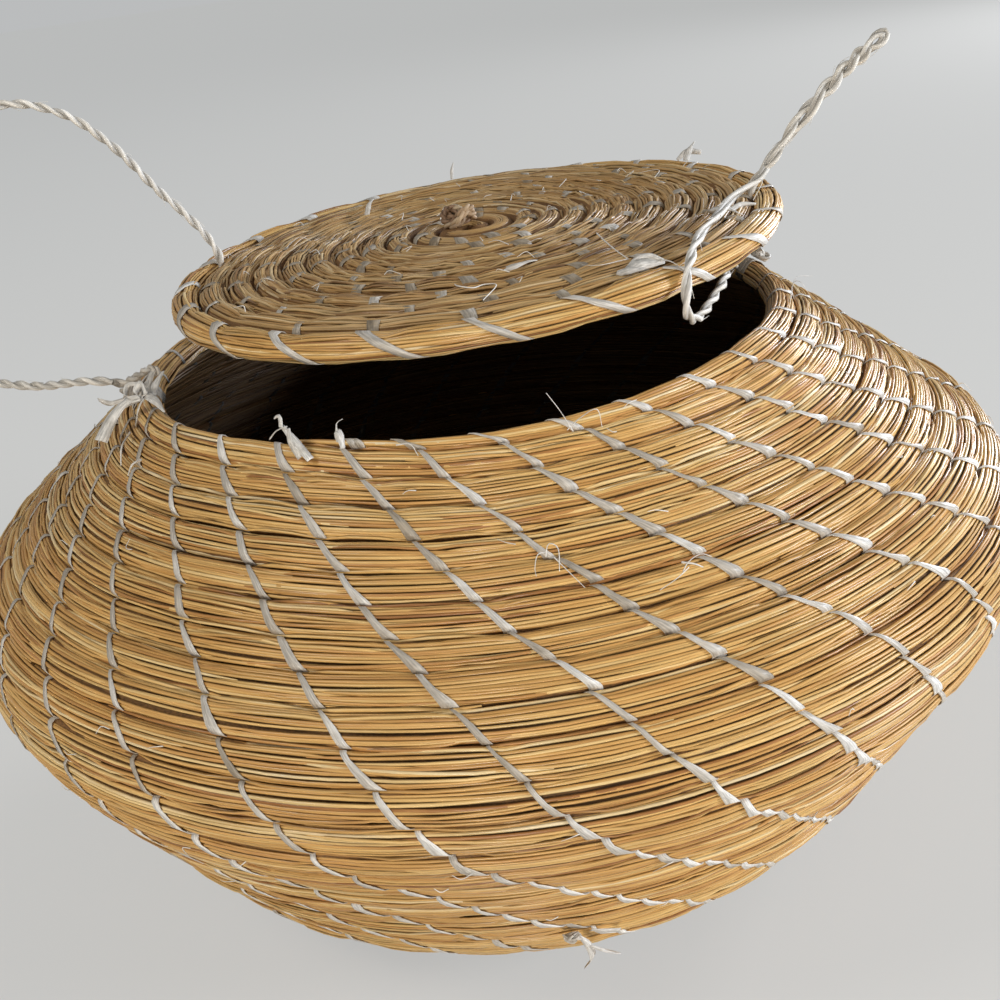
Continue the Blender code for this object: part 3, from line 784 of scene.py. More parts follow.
@dataclass
class GrassBundle:
    """The stems of a stretch of coil, and the dark heart that they lie on.

    Stems lie one after another on tracks round the bundle. Each is at most longest
    millimetres and stem_turns of a turn long and thins over tip millimetres at its
    ends. Each turn also has crossers, short stems that lie over the others at a
    slant, but none before crossed_from, where the bundle is thin. Each number in
    seams is the share of the depth at which stems lie in the slit to the next round.
    """

    name: str
    coil: Coil
    first: float
    last: float
    finish: Material
    heart_finish: Material
    node: str
    body: Body
    seed: int
    overlap: float = 0.05
    near_tracks: int = 17
    far_tracks: int = 13
    stem: float = 0.88
    crossers: float = 14.0
    seams: tuple[float, ...] = (0.84,)
    longest: float = 300.0
    shortest: float = 15.0
    tip: float = 6.0
    stem_turns: float = 0.9
    crosser_turns: float = 0.5
    crossed_from: float = 0.3
    points_per_turn: float = 24.0
    sides: int = 6
    inner_finish: Material | None = None
    heart_width: float = 1.02
    heart_depth: float = 0.68
    heart_start: float = 0.008

    def heart(self) -> None:
        """Build the solid middle of the bundle, which closes the wall."""
        first = self.first + (self.heart_start if self.first == 0 else 0.0)
        columns = max(8, int((self.last - first) * 64) + 1)
        rows = 12
        turns = np.linspace(first, self.last, columns)

        def place(column: np.ndarray, row: np.ndarray) -> np.ndarray:
            """Wrap the grid round the bundle's middle.

            Args:
                column: Column numbers, along the coil.
                row: Row numbers, round the bundle.

            Returns:
                The places, in millimetres.
            """
            turn = turns[column]
            wide, deep = self.coil.half_sizes(turn)
            up, out = self.coil.section.at((row + 0.5) / rows)
            low = wide * max(0.0, 1.0 - self.heart_width)
            return self.coil.place(turn, up * wide * self.heart_width - low,
                                   out * deep * self.heart_depth)

        mesh, column, row = bent_grid(self.name + "_heart", columns, rows, place, closed=True)
        mark(mesh, "run", turns[column] * self.coil.mm_per_turn(turns[column]) * MM)
        mark(mesh, "tint", 0.5 + 0.4 * np.sin(turns[column] * 31))
        mark(mesh, "side", np.abs(row / rows * 2 - 1))
        dressed(self.name + "_heart", mesh, self.heart_finish, self.body, Slot.GRASS, [self.node])

    def track(self, strands: Strands, chance: np.random.Generator, home: float, step: float,
              raised: float = 0.0) -> None:
        """Lay stem after stem along one track.

        Args:
            strands: Where the stems are gathered.
            chance: Source of their small differences.
            home: The track's share of the way round the bundle.
            step: Largest distance between points.
            raised: Share of the depth at which they lie in the seam, or 0.
        """
        turn = max(min(self.first, 0.0), self.first - chance.uniform(0.0, self.overlap))
        last = self.last + chance.uniform(0.0, self.overlap)
        length = self.longest * chance.uniform(0.1, 1.0)
        while turn < last - 1e-4:
            per_turn = float(self.coil.mm_per_turn(np.array(turn)))
            stop = min(turn + min(length / per_turn, self.stem_turns), last)
            if (last - stop) * per_turn < self.shortest:
                stop = last
            # Points lie closer on the small rounds, which bend more
            closer = min(step, 0.45 * per_turn ** 0.5)
            self.one_stem(strands, chance, home, turn, stop, per_turn, closer, raised=raised)
            tucked = min(self.tip, (stop - turn) / 4 * per_turn)
            skipped = chance.uniform(10, 80) if raised else -tucked
            turn = stop + skipped / per_turn
            if stop == last:
                break
            length = self.longest * chance.uniform(0.35, 1.0)

    def one_stem(self, strands: Strands, chance: np.random.Generator, home: float, start: float,
                 stop: float, per_turn: float, step: float, drift: float = 0.0,
                 raised: float = 0.0) -> None:
        """Lay one stem between two turns.

        Args:
            strands: Where the stems are gathered.
            chance: Source of its small differences.
            home: Its share of the way round the bundle.
            start: Turn where it starts.
            stop: Turn where it ends.
            per_turn: Length of a turn in millimetres.
            step: Largest distance between points.
            drift: Share of the way round that it crosses over the others, or 0.
            raised: Share of the depth at which it lies in the seam, or 0.
        """
        count = max(5, int((stop - start) * max(per_turn / step, self.points_per_turn)) + 1)
        turn = np.linspace(start, stop, count)
        run = (turn - start) * per_turn
        thick = self.stem * chance.uniform(0.78, 1.22)
        # A stem sways in a long and a short wave, and a crosser also drifts
        sway = 0.011 * np.sin(run / chance.uniform(24, 60) + chance.uniform(0, TURN))
        sway = sway + 0.004 * np.sin(run / chance.uniform(8, 18) + chance.uniform(0, TURN))
        sway = sway + drift * (run / run[-1] - 0.5)
        # It lies a little in from the bundle's outline, and its ends are tucked in
        inset = thick / 2 + abs(chance.normal(0.0, 0.14)) + 0.08 * np.sin(run / chance.uniform(15, 40))
        wide, deep = self.coil.half_sizes(turn)
        pinch = self.coil.pinch(turn)
        if drift:
            inset = inset - 0.5 * (1 - (1.02 - pinch) / self.coil.pinch_share)
        ends = np.clip(np.minimum(run, run[-1] - run) / self.tip, 0.0, 1.0)
        inset = inset + 0.4 * (1 - ends)
        up, out = self.coil.section.at(home + sway)
        along = up * np.maximum(wide * (0.5 + 0.5 * pinch) - inset, 0.2)
        across = out * np.maximum(deep * pinch - inset, 0.2)
        if raised:
            # In the slit it dives under each stitch
            apart = self.coil.from_stitch(turn) - self.coil.seam_shift
            along = -wide + 20 * sway
            across = raised * deep * pinch - thick / 2 - 0.5 * (1 - ends)
            across = across - 1.8 * np.exp(-(apart / 4.0) ** 2)
        radii = thick / 2 * (0.45 + 0.55 * ends) * (1 + 0.05 * np.sin(run / 17 + home * 40))
        strands.add(self.coil.place(turn, along, across), radii, self.one_tint(chance),
                    self.coil.place(turn, along * 0.5, across * 0.0))

    @staticmethod
    def one_tint(chance: np.random.Generator) -> float:
        """Tint of a stem: most are alike, some are bleached and a few are brown.

        Args:
            chance: Source of the differences.

        Returns:
            A number from 0 to 1.
        """
        kind = chance.random()
        tint = chance.normal(0.48, 0.13) if kind < 0.82 else chance.uniform(0.72, 0.92)
        tint = chance.uniform(0.03, 0.25) if kind > 0.94 else tint
        return float(np.clip(tint, 0.02, 0.98))

    def stems(self) -> None:
        """Lay the stems of the outer face, and those of the inner face more simply."""
        chance = np.random.default_rng(self.seed)
        near, far = Strands(), Strands()
        for index in range(self.near_tracks):
            home = -0.03 + 0.56 * (index + 0.15 * chance.random()) / (self.near_tracks - 1)
            self.track(near, chance, home, 7.0)
        for index in range(self.far_tracks):
            home = 0.56 + 0.38 * index / (self.far_tracks - 1)
            self.track(far, chance, home, 9.0)
        for raised in self.seams:
            self.track(near, chance, 0.5, 7.0, raised)
        for _ in range(int((self.last - self.first) * self.crossers)):
            start = chance.uniform(self.first, self.last)
            per_turn = float(self.coil.mm_per_turn(np.array(start)))
            stop = start + min(chance.uniform(50, 130) / per_turn, self.crosser_turns)
            if stop < self.last and start > self.crossed_from:
                drift = chance.choice((-1, 1)) * chance.uniform(0.05, 0.16)
                home = chance.uniform(0.08, 0.42)
                self.one_stem(near, chance, home, start, stop, per_turn, 5.0, drift)
        near.piece(self.name + "_stems", self.finish, self.body, Slot.GRASS, [self.node], self.sides)
        far.piece(self.name + "_inner_stems", self.inner_finish or self.finish, self.body,
                  Slot.GRASS, [self.node])

    def build(self) -> None:
        """Build the heart and its stems."""
        self.heart()
        self.stems()


@dataclass
class Stitches:
    """Ribbon stitches, each a band round the bundle.

    A stitch leans over by lean millimetres on its way across and stands lift above
    the stems. Spread is how much wider it is away from the rim, sunk how deep its
    far side dips into the slit, and wound says that it leans all the way round.
    Its points lie at the shares of the way round, closest on the bundle's edges.
    """

    name: str
    coil: Coil
    turns: np.ndarray
    finish: Material
    body: Body
    seed: int
    lean: float = 7.2
    width: tuple[float, float] = (1.5, 2.7)
    spread: float = 0.45
    lift: float = 0.3
    sunk: float = 0.0
    wound: bool = False
    tint: float = 0.55
    thickness: float = 0.14
    shares: tuple[float, ...] = (-0.25, -0.12, -0.03, 0.03, 0.08, 0.125, 0.17, 0.25, 0.33, 0.375,
                                 0.42, 0.47, 0.53, 0.62)

    def build(self, nodes: Sequence[str] = ()) -> Object:
        """Bend one grid into all the bands.

        Args:
            nodes: The solids that they stand for.

        Returns:
            The piece.
        """
        chance = np.random.default_rng(self.seed)
        shares = np.array(self.shares)
        wound = np.where(shares < 0.5, np.clip(0.55 - 2 * shares, 0, 1), 1.0) - 0.3
        dipped = self.sunk * np.clip((shares - 0.3) / 0.1, 0, 1) * (shares < 0.6)
        # On the bundle's inner side a stitch lies closer to the stems
        lifts = self.lift * np.where((shares < 0.0) | (shares > 0.5), 0.3, 1.0)
        count = len(self.turns)
        widths = chance.uniform(*self.width, count)
        leans = self.lean * chance.uniform(0.85, 1.15, count)
        shifts = chance.normal(0.0, 0.35, count)
        phase = chance.uniform(0, TURN, count)
        tints = np.clip(chance.normal(self.tint, 0.22, count), 0.0, 1.0)

        def place(column: np.ndarray, row: np.ndarray) -> np.ndarray:
            """Wrap two columns round the bundle for each stitch.

            Args:
                column: Column numbers, two for each stitch.
                row: Row numbers, round the bundle.

            Returns:
                The places, in millimetres.
            """
            which, side = column // 2, column % 2 * 2 - 1
            base = self.turns[which]
            up, out = self.coil.section.at(shares[row])
            wave = np.sin(up * 3 + phase[which])
            wide_here = widths[which] * (1 - self.spread * up + 0.12 * wave)
            leaned = leans[which] * (wound[row] if self.wound else -up / 2)
            slid = leaned + shifts[which] + side * wide_here / 2 + 0.2 * wave
            turn = base + slid / self.coil.mm_per_turn(base)
            wide, deep = self.coil.half_sizes(turn)
            lift = lifts[row] + 0.08 * np.sin(up * 5 + side + phase[which]) - dipped[row]
            return self.coil.place(turn, up * (wide * 0.99 + 0.05 - dipped[row] / 2),
                                   out * (deep * self.coil.pinch(turn) + lift))

        mesh, column, row = bent_grid(self.name, 2 * count, len(shares), place, closed=True,
                                      keep=lambda index: index % 2 == 0, thickness=self.thickness)
        mark(mesh, "tint", tints[column // 2])
        mark(mesh, "run", row * 2.0 * MM)
        # Inside the basket a stitch gets a low side value, which its finish darkens as painted shade
        inside = (self.body is Body.BASKET) & ((shares[row] < -0.05) | (shares[row] > 0.55))
        mark(mesh, "side", np.where(inside, 0.2, 0.9) + 0.1 * (column % 2))
        return dressed(self.name, mesh, self.finish, self.body, Slot.RIBBON, nodes)


@dataclass
class Ribbons:
    """Flat loose ribbons gathered for one mesh. Curl is their rise as a share of their width."""

    rows: int = 16
    thickness: float = 0.12
    curl: float = 0.12
    grids: list[np.ndarray] = field(default_factory=list)
    tints: list[float] = field(default_factory=list)

    def lay(self, seat: Seat, ends: Sequence[tuple]) -> None:
        """Add the ribbons round a seat.

        Args:
            seat: The place that they lie at.
            ends: For each, its points as up, sideways and out, then width, twist and tint.
        """
        for points, width, twist, tint in ends:
            self.add(seat.line(points), width, seat.out, twist, tint)

    def add(self, line: np.ndarray, width: Sequence[float], facing: Vector, twist: float,
            tint: float) -> None:
        """Add one ribbon.

        Args:
            line: Points along its middle, in millimetres.
            width: Widths along it, spread evenly.
            facing: Direction that its flat side faces.
            twist: Angle in degrees that it turns from end to end.
            tint: Number from 0 to 1 that picks its colour.
        """
        runs = along_line(line)
        even = np.linspace(0, runs[-1], self.rows)
        places = np.stack([np.interp(even, runs, line[:, axis]) for axis in range(3)], axis=1)
        ahead = np.gradient(places, axis=0)
        side = np.cross(ahead, np.array(facing))
        side /= np.linalg.norm(side, axis=1)[:, None]
        face = np.cross(side, ahead)
        face /= np.linalg.norm(face, axis=1)[:, None]
        angle = np.radians(np.linspace(0, twist, self.rows))[:, None]
        across = side * np.cos(angle) + face * np.sin(angle)
        proud = face * np.cos(angle) - side * np.sin(angle)
        wide = np.interp(np.linspace(0, 1, self.rows), np.linspace(0, 1, len(width)), width)[:, None]
        self.grids.append(np.stack([places - across * wide / 2, places + proud * wide * self.curl,
                                    places + across * wide / 2], axis=1))
        self.tints.append(tint)

    def build(self, name: str, finish: Material, body: Body,
              nodes: Sequence[str] = ()) -> Object:
        """Bend one grid into all the ribbons.

        Args:
            name: Name of the piece.
            finish: Its material.
            body: The body that it rides on.
            nodes: The solids that it stands for.

        Returns:
            The piece.
        """
        grids = np.array(self.grids)
        tints = np.array(self.tints)

        def place(column: np.ndarray, row: np.ndarray) -> np.ndarray:
            """Look up the place of a ribbon's point."""
            return grids[column // 3, row, column % 3]

        mesh, column, row = bent_grid(name, 3 * len(grids), self.rows, place, closed=False,
                                      keep=lambda index: index % 3 != 2, thickness=self.thickness)
        mark(mesh, "tint", tints[column // 3])
        mark(mesh, "run", row * 1.5 * MM)
        mark(mesh, "side", 0.9 + 0.05 * (column % 3))
        return dressed(name, mesh, finish, body, Slot.RIBBON, nodes)


def smooth_route(route: Sequence[Spot], spacing: float) -> np.ndarray:
    """Even points on a smooth curve through a route.

    Args:
        route: Points chosen along the way, in millimetres.
        spacing: Distance between the points wanted, in millimetres.

    Returns:
        The points, in millimetres.
    """
    stops = np.array(route, float)
    stops = np.vstack([2 * stops[0] - stops[1], stops, 2 * stops[-1] - stops[-2]])
    fine = []
    share = np.arange(16)[:, None] / 16
    for before, start, end, after in zip(stops, stops[1:], stops[2:], stops[3:]):
        fine.append(0.5 * (2 * start + (end - before) * share
                           + (2 * before - 5 * start + 4 * end - after) * share ** 2
                           + (3 * start - before - 3 * end + after) * share ** 3))
    line = np.vstack([*fine, stops[-2]])
    runs = along_line(line)
    count = max(2, round(runs[-1] / spacing))
    even = np.linspace(0.0, runs[-1], count + 1)
    return np.stack([np.interp(even, runs, line[:, axis]) for axis in range(3)], axis=1)


def carried_frame(places: np.ndarray) -> tuple[np.ndarray, np.ndarray]:
    """Two directions square to a line, carried along it without a twist.

    Args:
        places: Points of the line.

    Returns:
        The two directions at each point.
    """
    ahead = np.gradient(places, axis=0)
    ahead /= np.linalg.norm(ahead, axis=1)[:, None]
    side = np.zeros_like(places)
    start = np.cross(ahead[0], (0.0, 0.0, 1.0))
    side[0] = start / np.linalg.norm(start)
    for index in range(1, len(places)):
        carried = side[index - 1] - ahead[index] * (side[index - 1] @ ahead[index])
        side[index] = carried / np.linalg.norm(carried)
    return side, np.cross(ahead, side)


@dataclass
class Twine:
    """A free cord of two plies laid round each other.

    One turn of the plies is lay_length long, and longer within slack_reach of the
    distance slack_at, where the cord has worked loose. Ply is a ply's radius, and
    apart its distance from the cord's middle.
    """

    name: str
    route: Sequence[Spot]
    finish: Material
    seed: int
    slack_at: float = 0.0
    slack_reach: float = 1.0
    diameter: float = 2.8
    lay_length: float = 12.0
    ply: float = 0.79
    apart: float = 0.62

    def build(self, start: Spot, end: Spot, knot: Object) -> Object:
        """Args:
            start: Point in millimetres; not used.
            end: Point in millimetres.
            knot: The knot on its first end; not used.

        Returns:
            The piece.
        """
        chance = np.random.default_rng(self.seed)
        line = smooth_route(self.route, 0.9)
        side, top = carried_frame(line)
        run = along_line(line)
        strands = Strands()
        laid = 1 - 0.75 * np.exp(-((run - self.slack_at) / self.slack_reach) ** 4)
        wound = np.concatenate([[0.0], np.cumsum(np.diff(run) * laid[1:])])
        for phase in (0.0, math.pi):
            angle = phase + TURN * wound / self.lay_length + 0.5 * np.sin(run / 23.0)
            thick = self.ply * (1 + 0.08 * np.sin(run / 5.1 + phase) + 0.05 * np.sin(run / 2.3))
            spread = side * np.cos(angle)[:, None] + top * np.sin(angle)[:, None]
            strands.add(line + spread * self.apart, thick, 0.66 - 0.12 * phase / math.pi, line)
        for _ in range(int(run[-1] / 6)):
            self.hair(strands, chance, line, side, top)
        piece = strands.piece(self.name, self.finish, None, Slot.TWINE, [self.name], sides=6)
        [value * MM for value in end]
        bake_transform(piece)
        return piece

    def hair(self, strands: Strands, chance: np.random.Generator, line: np.ndarray,
             side: np.ndarray, top: np.ndarray) -> None:
        """Add one loose fibre that lies close along the twine.

        Args:
            strands: Where the fibres are gathered.
            chance: Source of their differences.
            line: The cord's middle.
            side: A direction square to it at each point.
            top: The other direction square to it.
        """
        index = int(chance.integers(8, len(line) - 14))
        count = int(chance.integers(4, 9))
        reach = np.linspace(0.9, chance.uniform(1.5, 2.3), count)
        turned = chance.uniform(0, TURN) + np.linspace(0, chance.uniform(-1, 1), count)
        picked = slice(index, index + count)
        spread = side[picked] * np.cos(turned)[:, None] + top[picked] * np.sin(turned)[:, None]
        strands.add_tapered(line[picked] + spread * reach[:, None], 0.12, 0.05, 0.8)


@dataclass
class Seat:
    """A place on the surface, with the ways out of it and up along it."""

    middle: Vector
    out: Vector
    up: Vector

    def ways(self) -> np.ndarray:
        """Directions up, sideways and out."""
        return np.array([self.up, self.out.cross(self.up), self.out])

    def carry(self, spots: np.ndarray) -> np.ndarray:
        """Carry points given as up, sideways and out to the world, in millimetres."""
        return spots @ self.ways() + np.array(self.middle)

    def line(self, points: Sequence[Spot], spacing: float = 1.0) -> np.ndarray:
        """Smooth line through points given as up, sideways and out, in millimetres."""
        return self.carry(smooth_route(points, spacing))


def wall_seat(coil: WallCoil, azimuth: float, rounds: int, out: float = 4.6) -> Seat:
    """Seat on the ridge of a round of the wall.

    Args:
        coil: The wall's coil.
        azimuth: Angle round the basket.
        rounds: Whole rounds down from the rim.
        out: Distance out from the bundle's middle.

    Returns:
        The seat.
    """
    turn = rounds + ((azimuth - coil.end_azimuth) / 360) % 1.0
    spots = coil.place(np.full(3, turn), np.array([0.0, 1.0, 0.0]), np.array([out, out, out + 1.0]))
    middle, upper, outer = (Vector(spot) for spot in spots)
    return Seat(middle, (outer - middle).normalized(), (upper - middle).normalized())


@dataclass
class CrushedKnot:
    """An overhand knot of crushed ribbon."""

    name: str
    seat: Seat
    finish: Material
    body: Body
    size: float = 1.2
    strand: float = 0.8
    tail: Sequence[Spot] = ()

    def build(self) -> Object:
        """Build the knot as three loops that pass through each other.

        Returns:
            The piece.
        """
        strands = Strands()
        if self.tail:
            line = smooth_route(self.tail, 0.9)
            side, top = carried_frame(line)
            turned = TURN * along_line(line) / 9.0
            spread = side * np.cos(turned)[:, None] + top * np.sin(turned)[:, None]
            for aside in (-0.56, 0.56):
                strands.add_tapered(line + spread * aside, 0.82, 0.6, 0.6)
        angle = np.linspace(0, TURN, 41)
        for layer in range(3):
            size = self.size * (1.0 - 0.12 * layer)
            reach = size * (2.0 + np.cos(3 * angle + 0.4 * layer))
            spots = np.stack([reach * np.cos(2 * angle + 0.5 * layer),
                              reach * np.sin(2 * angle + 0.5 * layer),
                              size * np.sin(3 * angle) + size + self.strand * 0.9 + 0.2], axis=1)
            thick = self.strand * (0.8 + 0.15 * np.sin(7 * angle + layer))
            strands.add(self.seat.carry(spots), thick, 0.55 + 0.15 * layer)
        return strands.piece(self.name, self.finish, self.body, Slot.RIBBON, [self.name], sides=6)


@dataclass
class CoilStart:
    """The twisted rosette of folded stems where a coil starts."""

    name: str
    seat: Seat
    finish: Material
    body: Body
    radius: float
    height: float
    strand: float
    seed: int

    def build(self) -> Object:
        """Lay thick twisted loops over each other round the middle.

        Returns:
            The piece.
        """
        chance = np.random.default_rng(self.seed)
        strands = Strands()
        angle = np.linspace(0, TURN * 0.97, 25)
        for index in range(8):
            way = TURN * index * 0.38
            small = self.radius * (0.62 - 0.03 * index)
            apart = self.radius - small
            tilt = 0.35 * self.height
            rise = self.height * (0.22 + 0.06 * index) + tilt * np.sin(angle + way)
            spots = np.stack([apart * math.cos(way) + small * np.cos(angle),
                              apart * math.sin(way) + small * np.sin(angle),
                              np.maximum(rise, self.strand * 0.6)], axis=1)
            places = self.seat.carry(spots)
            tint = chance.uniform(0.15, 0.95)
            for twist in (0.0, math.pi):
                turn = angle * 3 + twist
                swing = np.stack([np.cos(angle) * np.cos(turn), np.sin(angle) * np.cos(turn),
                                  np.sin(turn)], axis=1) * self.strand * 0.45
                strands.add(places + swing @ self.seat.ways(),
                            np.full(len(angle), self.strand * 0.52), tint)
        return strands.piece(self.name, self.finish, self.body, Slot.START, [self.name], sides=6)


@dataclass
class Basket:
    """The body of the basket: its coil, stitches, ties and knots.

    The coil starts eye_turns of its pitch out from the middle of the base.
    """

    palette: Palette
    coil: WallCoil = field(default_factory=WallCoil)
    eye_turns: float = 0.62

    def __post_init__(self) -> None:
        """Settle where the coil starts."""
        self.last_turn = self.coil.end / self.coil.pitch - self.eye_turns

    def bundles(self) -> None:
        """Build the coil in stretches, so that no mesh grows too large."""
        stretches = (
            ("rim", 0.0, 1.0, "rim_coil", 0.92),
            ("shoulder", 1.0, 5.0, "upper_wall_coil", 1.02),
            ("upper_belly", 5.0, 8.9, "upper_wall_coil", 1.02),
            ("lower_belly", 8.9, 14.0, "lower_wall_coil", 1.02),
            ("lower_wall", 14.0, 19.5, "lower_wall_coil", 1.02),
            ("foot", 19.5, 25.0, "base_coil", 1.02),
            ("base", 25.0, self.last_turn, "base_coil", 1.02),
        )
        for index, (name, first, last, node, width) in enumerate(stretches):
            hidden = name == "base"
            # Below the rim the inner stems take the darker inner finish, painted shade of the basket's
            # inside
            GrassBundle(name, self.coil, first, last, self.palette.wall_grass,
                        self.palette.bundle_heart, node, Body.BASKET, 11 + index,
                        overlap=0.0 if hidden else 0.05, heart_width=width,
                        sides=4 if hidden else 6,
                        inner_finish=None if name == "rim" else self.palette.shaded_inner_grass).build()

    def stitches(self) -> None:
        """Sew every round to the next, with whiter ribbon low down."""
        turns = crossings(self.coil, 0.03, self.last_turn - 0.4)
        for index, (name, first, last, lean, width, tint) in enumerate((
                ("upper_stitches", 0.0, 12.0, 7.2, (1.5, 2.7), 0.6),
                ("lower_stitches", 12.0, 40.0, 5.4, (2.0, 3.2), 0.95))):
            picked = turns[(turns >= first) & (turns < last)]
            Stitches(name, self.coil, picked, self.palette.ribbon, Body.BASKET, 31 + index,
                     lean=lean, width=width, tint=tint).build()

    def ties(self) -> None:
        """Tie ribbons over the rim at the cords and beside the coil's end."""
        for index, (name, azimuth, offsets, width) in enumerate((
                ("left_rim_tie", -169.0, (-2.2, 0.0, 1.6, 3.0), (2.2, 3.2)),
                ("left_end_tie", 157.0, (-1.4, 0.6, 1.8), (2.0, 3.0)),
                ("right_rim_tie", 11.0, (-1.8, 0.0, 1.7), (2.0, 3.0)),
                ("rim_end_tie", -109.0, (-1.0, 0.9), (1.8, 2.4)))):
            middle = ((azimuth - self.coil.end_azimuth) / 360) % 1.0
            turns = middle + np.array(offsets) / self.coil.mm_per_turn(np.array(middle))
            Stitches(name, self.coil, turns, self.palette.ribbon, Body.BASKET, 41 + index,
                     lean=2.0, width=width, lift=0.6, spread=0.1).build([name])

    def knots(self) -> dict[str, Object]:
        """Tie the knots at the cords' ends and the repair knot on the belly.

        Returns:
            The knots by name.
        """
        made = {}
        rim = wall_seat(self.coil, -150.0, 0).line(((12.2, 18.4, 2.6), (11.4, 16.8, 0.6)), 9.0)
        tail = (LEFT_ROUTE[0], (-101.2, -20.2, 162.6), tuple(rim[0]), tuple(rim[-1]))
        for name, azimuth, rounds, size, route in (("left_cord_knot", -169.0, 0, 1.2, tail),
                                                   ("right_cord_knot", 11.0, 0, 1.1, ()),
                                                   ("belly_repair_knot", -88.2, 20, 0.75, ())):
            seat = wall_seat(self.coil, azimuth, rounds)
            made[name] = CrushedKnot(name, seat, self.palette.ribbon, Body.BASKET, size,
                                     0.62 * size, route).build()
        return made

    def shreds(self) -> None:
        """Lay the loose ribbon ends at the ties and the knots."""
        ribbons = Ribbons()
        ribbons.lay(wall_seat(self.coil, -150.0, 0), (
                (((12.7, 18.4, 2.0), (9.1, 14.2, 2.6), (4.9, 8.7, 2.2)), (2.6, 1.8, 2.4), 70, 0.85),
                (((11.5, 20.4, 1.0), (7.1, 15.5, 3.0), (3.9, 9.7, 2.6)), (1.6, 1.2, 1.8), -90, 0.7),
                (((13.0, 15.4, 0.6), (9.5, 11.8, 1.6), (5.6, 7.4, 1.6)), (1.8, 2.4, 1.6), 50, 0.95),
                (((4.0, 9.0, 3.0), (0.6, 15.5, 3.4), (-5.5, 17.2, 3.2), (-12.6, 14.8, 2.6)),
                 (1.8, 3.0, 4.2, 4.0), 35, 0.95),
                (((3.4, 10.0, 2.6), (-0.6, 16.0, 2.4), (-7.5, 19.0, 2.2), (-13.6, 18.0, 1.6)),
                 (1.2, 2.0, 2.0, 0.6), -60, 0.8),
                (((1.0, 17.0, 3.6), (-2.5, 20.8, 4.6), (-3.9, 26.0, 5.8)), (1.4, 1.4, 2.2), 80, 0.85),
                (((5.0, 8.0, 3.0), (5.2, 0.8, 3.2), (4.2, -5.6, 1.8)), (2.2, 2.6, 0.5), 40, 0.9),
                (((3.8, 8.4, 3.0), (1.1, 7.1, 3.0), (-3.4, 5.4, 1.2)), (1.4, 2.2, 0.8), -50, 0.85),
                (((7.1, 12.8, 3.4), (4.4, 17.4, 5.4), (1.4, 14.4, 4.6), (3.9, 9.6, 3.4)),
                 (1.0, 1.4, 1.4, 1.0), 160, 0.9),
                (((5.2, 7.4, 3.8), (6.8, 10.4, 5.4), (4.2, 11.8, 4.6), (3.2, 8.4, 3.6)),
                 (1.4, 1.8, 1.8, 1.4), 120, 1.0)))
        ribbons.lay(wall_seat(self.coil, -119.0, 1), (
                (((5.2, 0.2, 3.6), (2.0, -4.0, 2.6), (-1.7, -8.9, 0.6)), (1.0, 2.1, 1.9), 20, 0.95),
                (((4.8, -1.6, 3.4), (1.5, -3.2, 3.0), (-1.5, -6.0, 0.7)), (0.9, 1.6, 2.0), -25, 0.85),
                (((2.6, 4.4, 1.4), (4.0, 1.6, 3.4), (5.0, -1.4, 4.0)), (0.5, 1.1, 1.1), 60, 0.85),
                (((4.6, 0.2, 4.0), (6.2, 0.2, 5.4), (7.0, 1.2, 5.4), (6.4, 2.4, 4.8)),
                 (1.2, 1.5, 0.9, 0.3), 50, 0.95),
                (((3.5, -15.2, 0.8), (5.3, -14.6, 2.4), (4.3, -16.2, 3.0), (1.6, -17.2, 1.2)),
                 (1.4, 2.0, 1.8, 1.2), 50, 0.9),
                (((4.8, -15.0, 2.6), (6.8, -14.8, 3.8), (7.8, -16.4, 4.2)), (0.6, 0.5, 0.25), 60, 0.9)))
        ribbons.lay(wall_seat(self.coil, 11.0, 0), (
                (((3.0, 2.0, 2.0), (4.4, 6.4, 3.0), (5.6, 11.3, 2.0)), (1.4, 2.0, 0.8), 50, 0.85),
                (((2.0, -2.0, 2.0), (-1.6, -5.4, 3.0), (-6.0, -6.8, 1.2)), (1.4, 2.0, 0.7), -60, 0.8)))
        ribbons.lay(wall_seat(self.coil, -88.2, 20), (
                (((0.6, -1.6, 1.6), (-4.0, -3.4, 2.4), (-8.6, -4.4, 4.6), (-12.4, -2.0, 6.2)),
                 (1.2, 1.9, 2.4, 0.5), 60, 0.95),
                (((-4.4, -4.0, 3.0), (-6.4, -7.6, 4.2), (-8.4, -11.4, 5.0)), (0.8, 0.9, 1.1), 150, 0.9),
                (((0.4, -4.6, 0.4), (-1.6, -8.0, 0.5), (-4.4, -12.0, 0.4)), (1.6, 2.0, 2.2), 8, 0.8),
                (((1.4, 2.6, 0.6), (0.9, 0.4, 2.4), (0.8, -2.0, 1.4)), (1.0, 1.4, 1.0), 40, 0.3)))
        ribbons.build("wall_ribbon_ends", self.palette.ribbon, Body.BASKET)

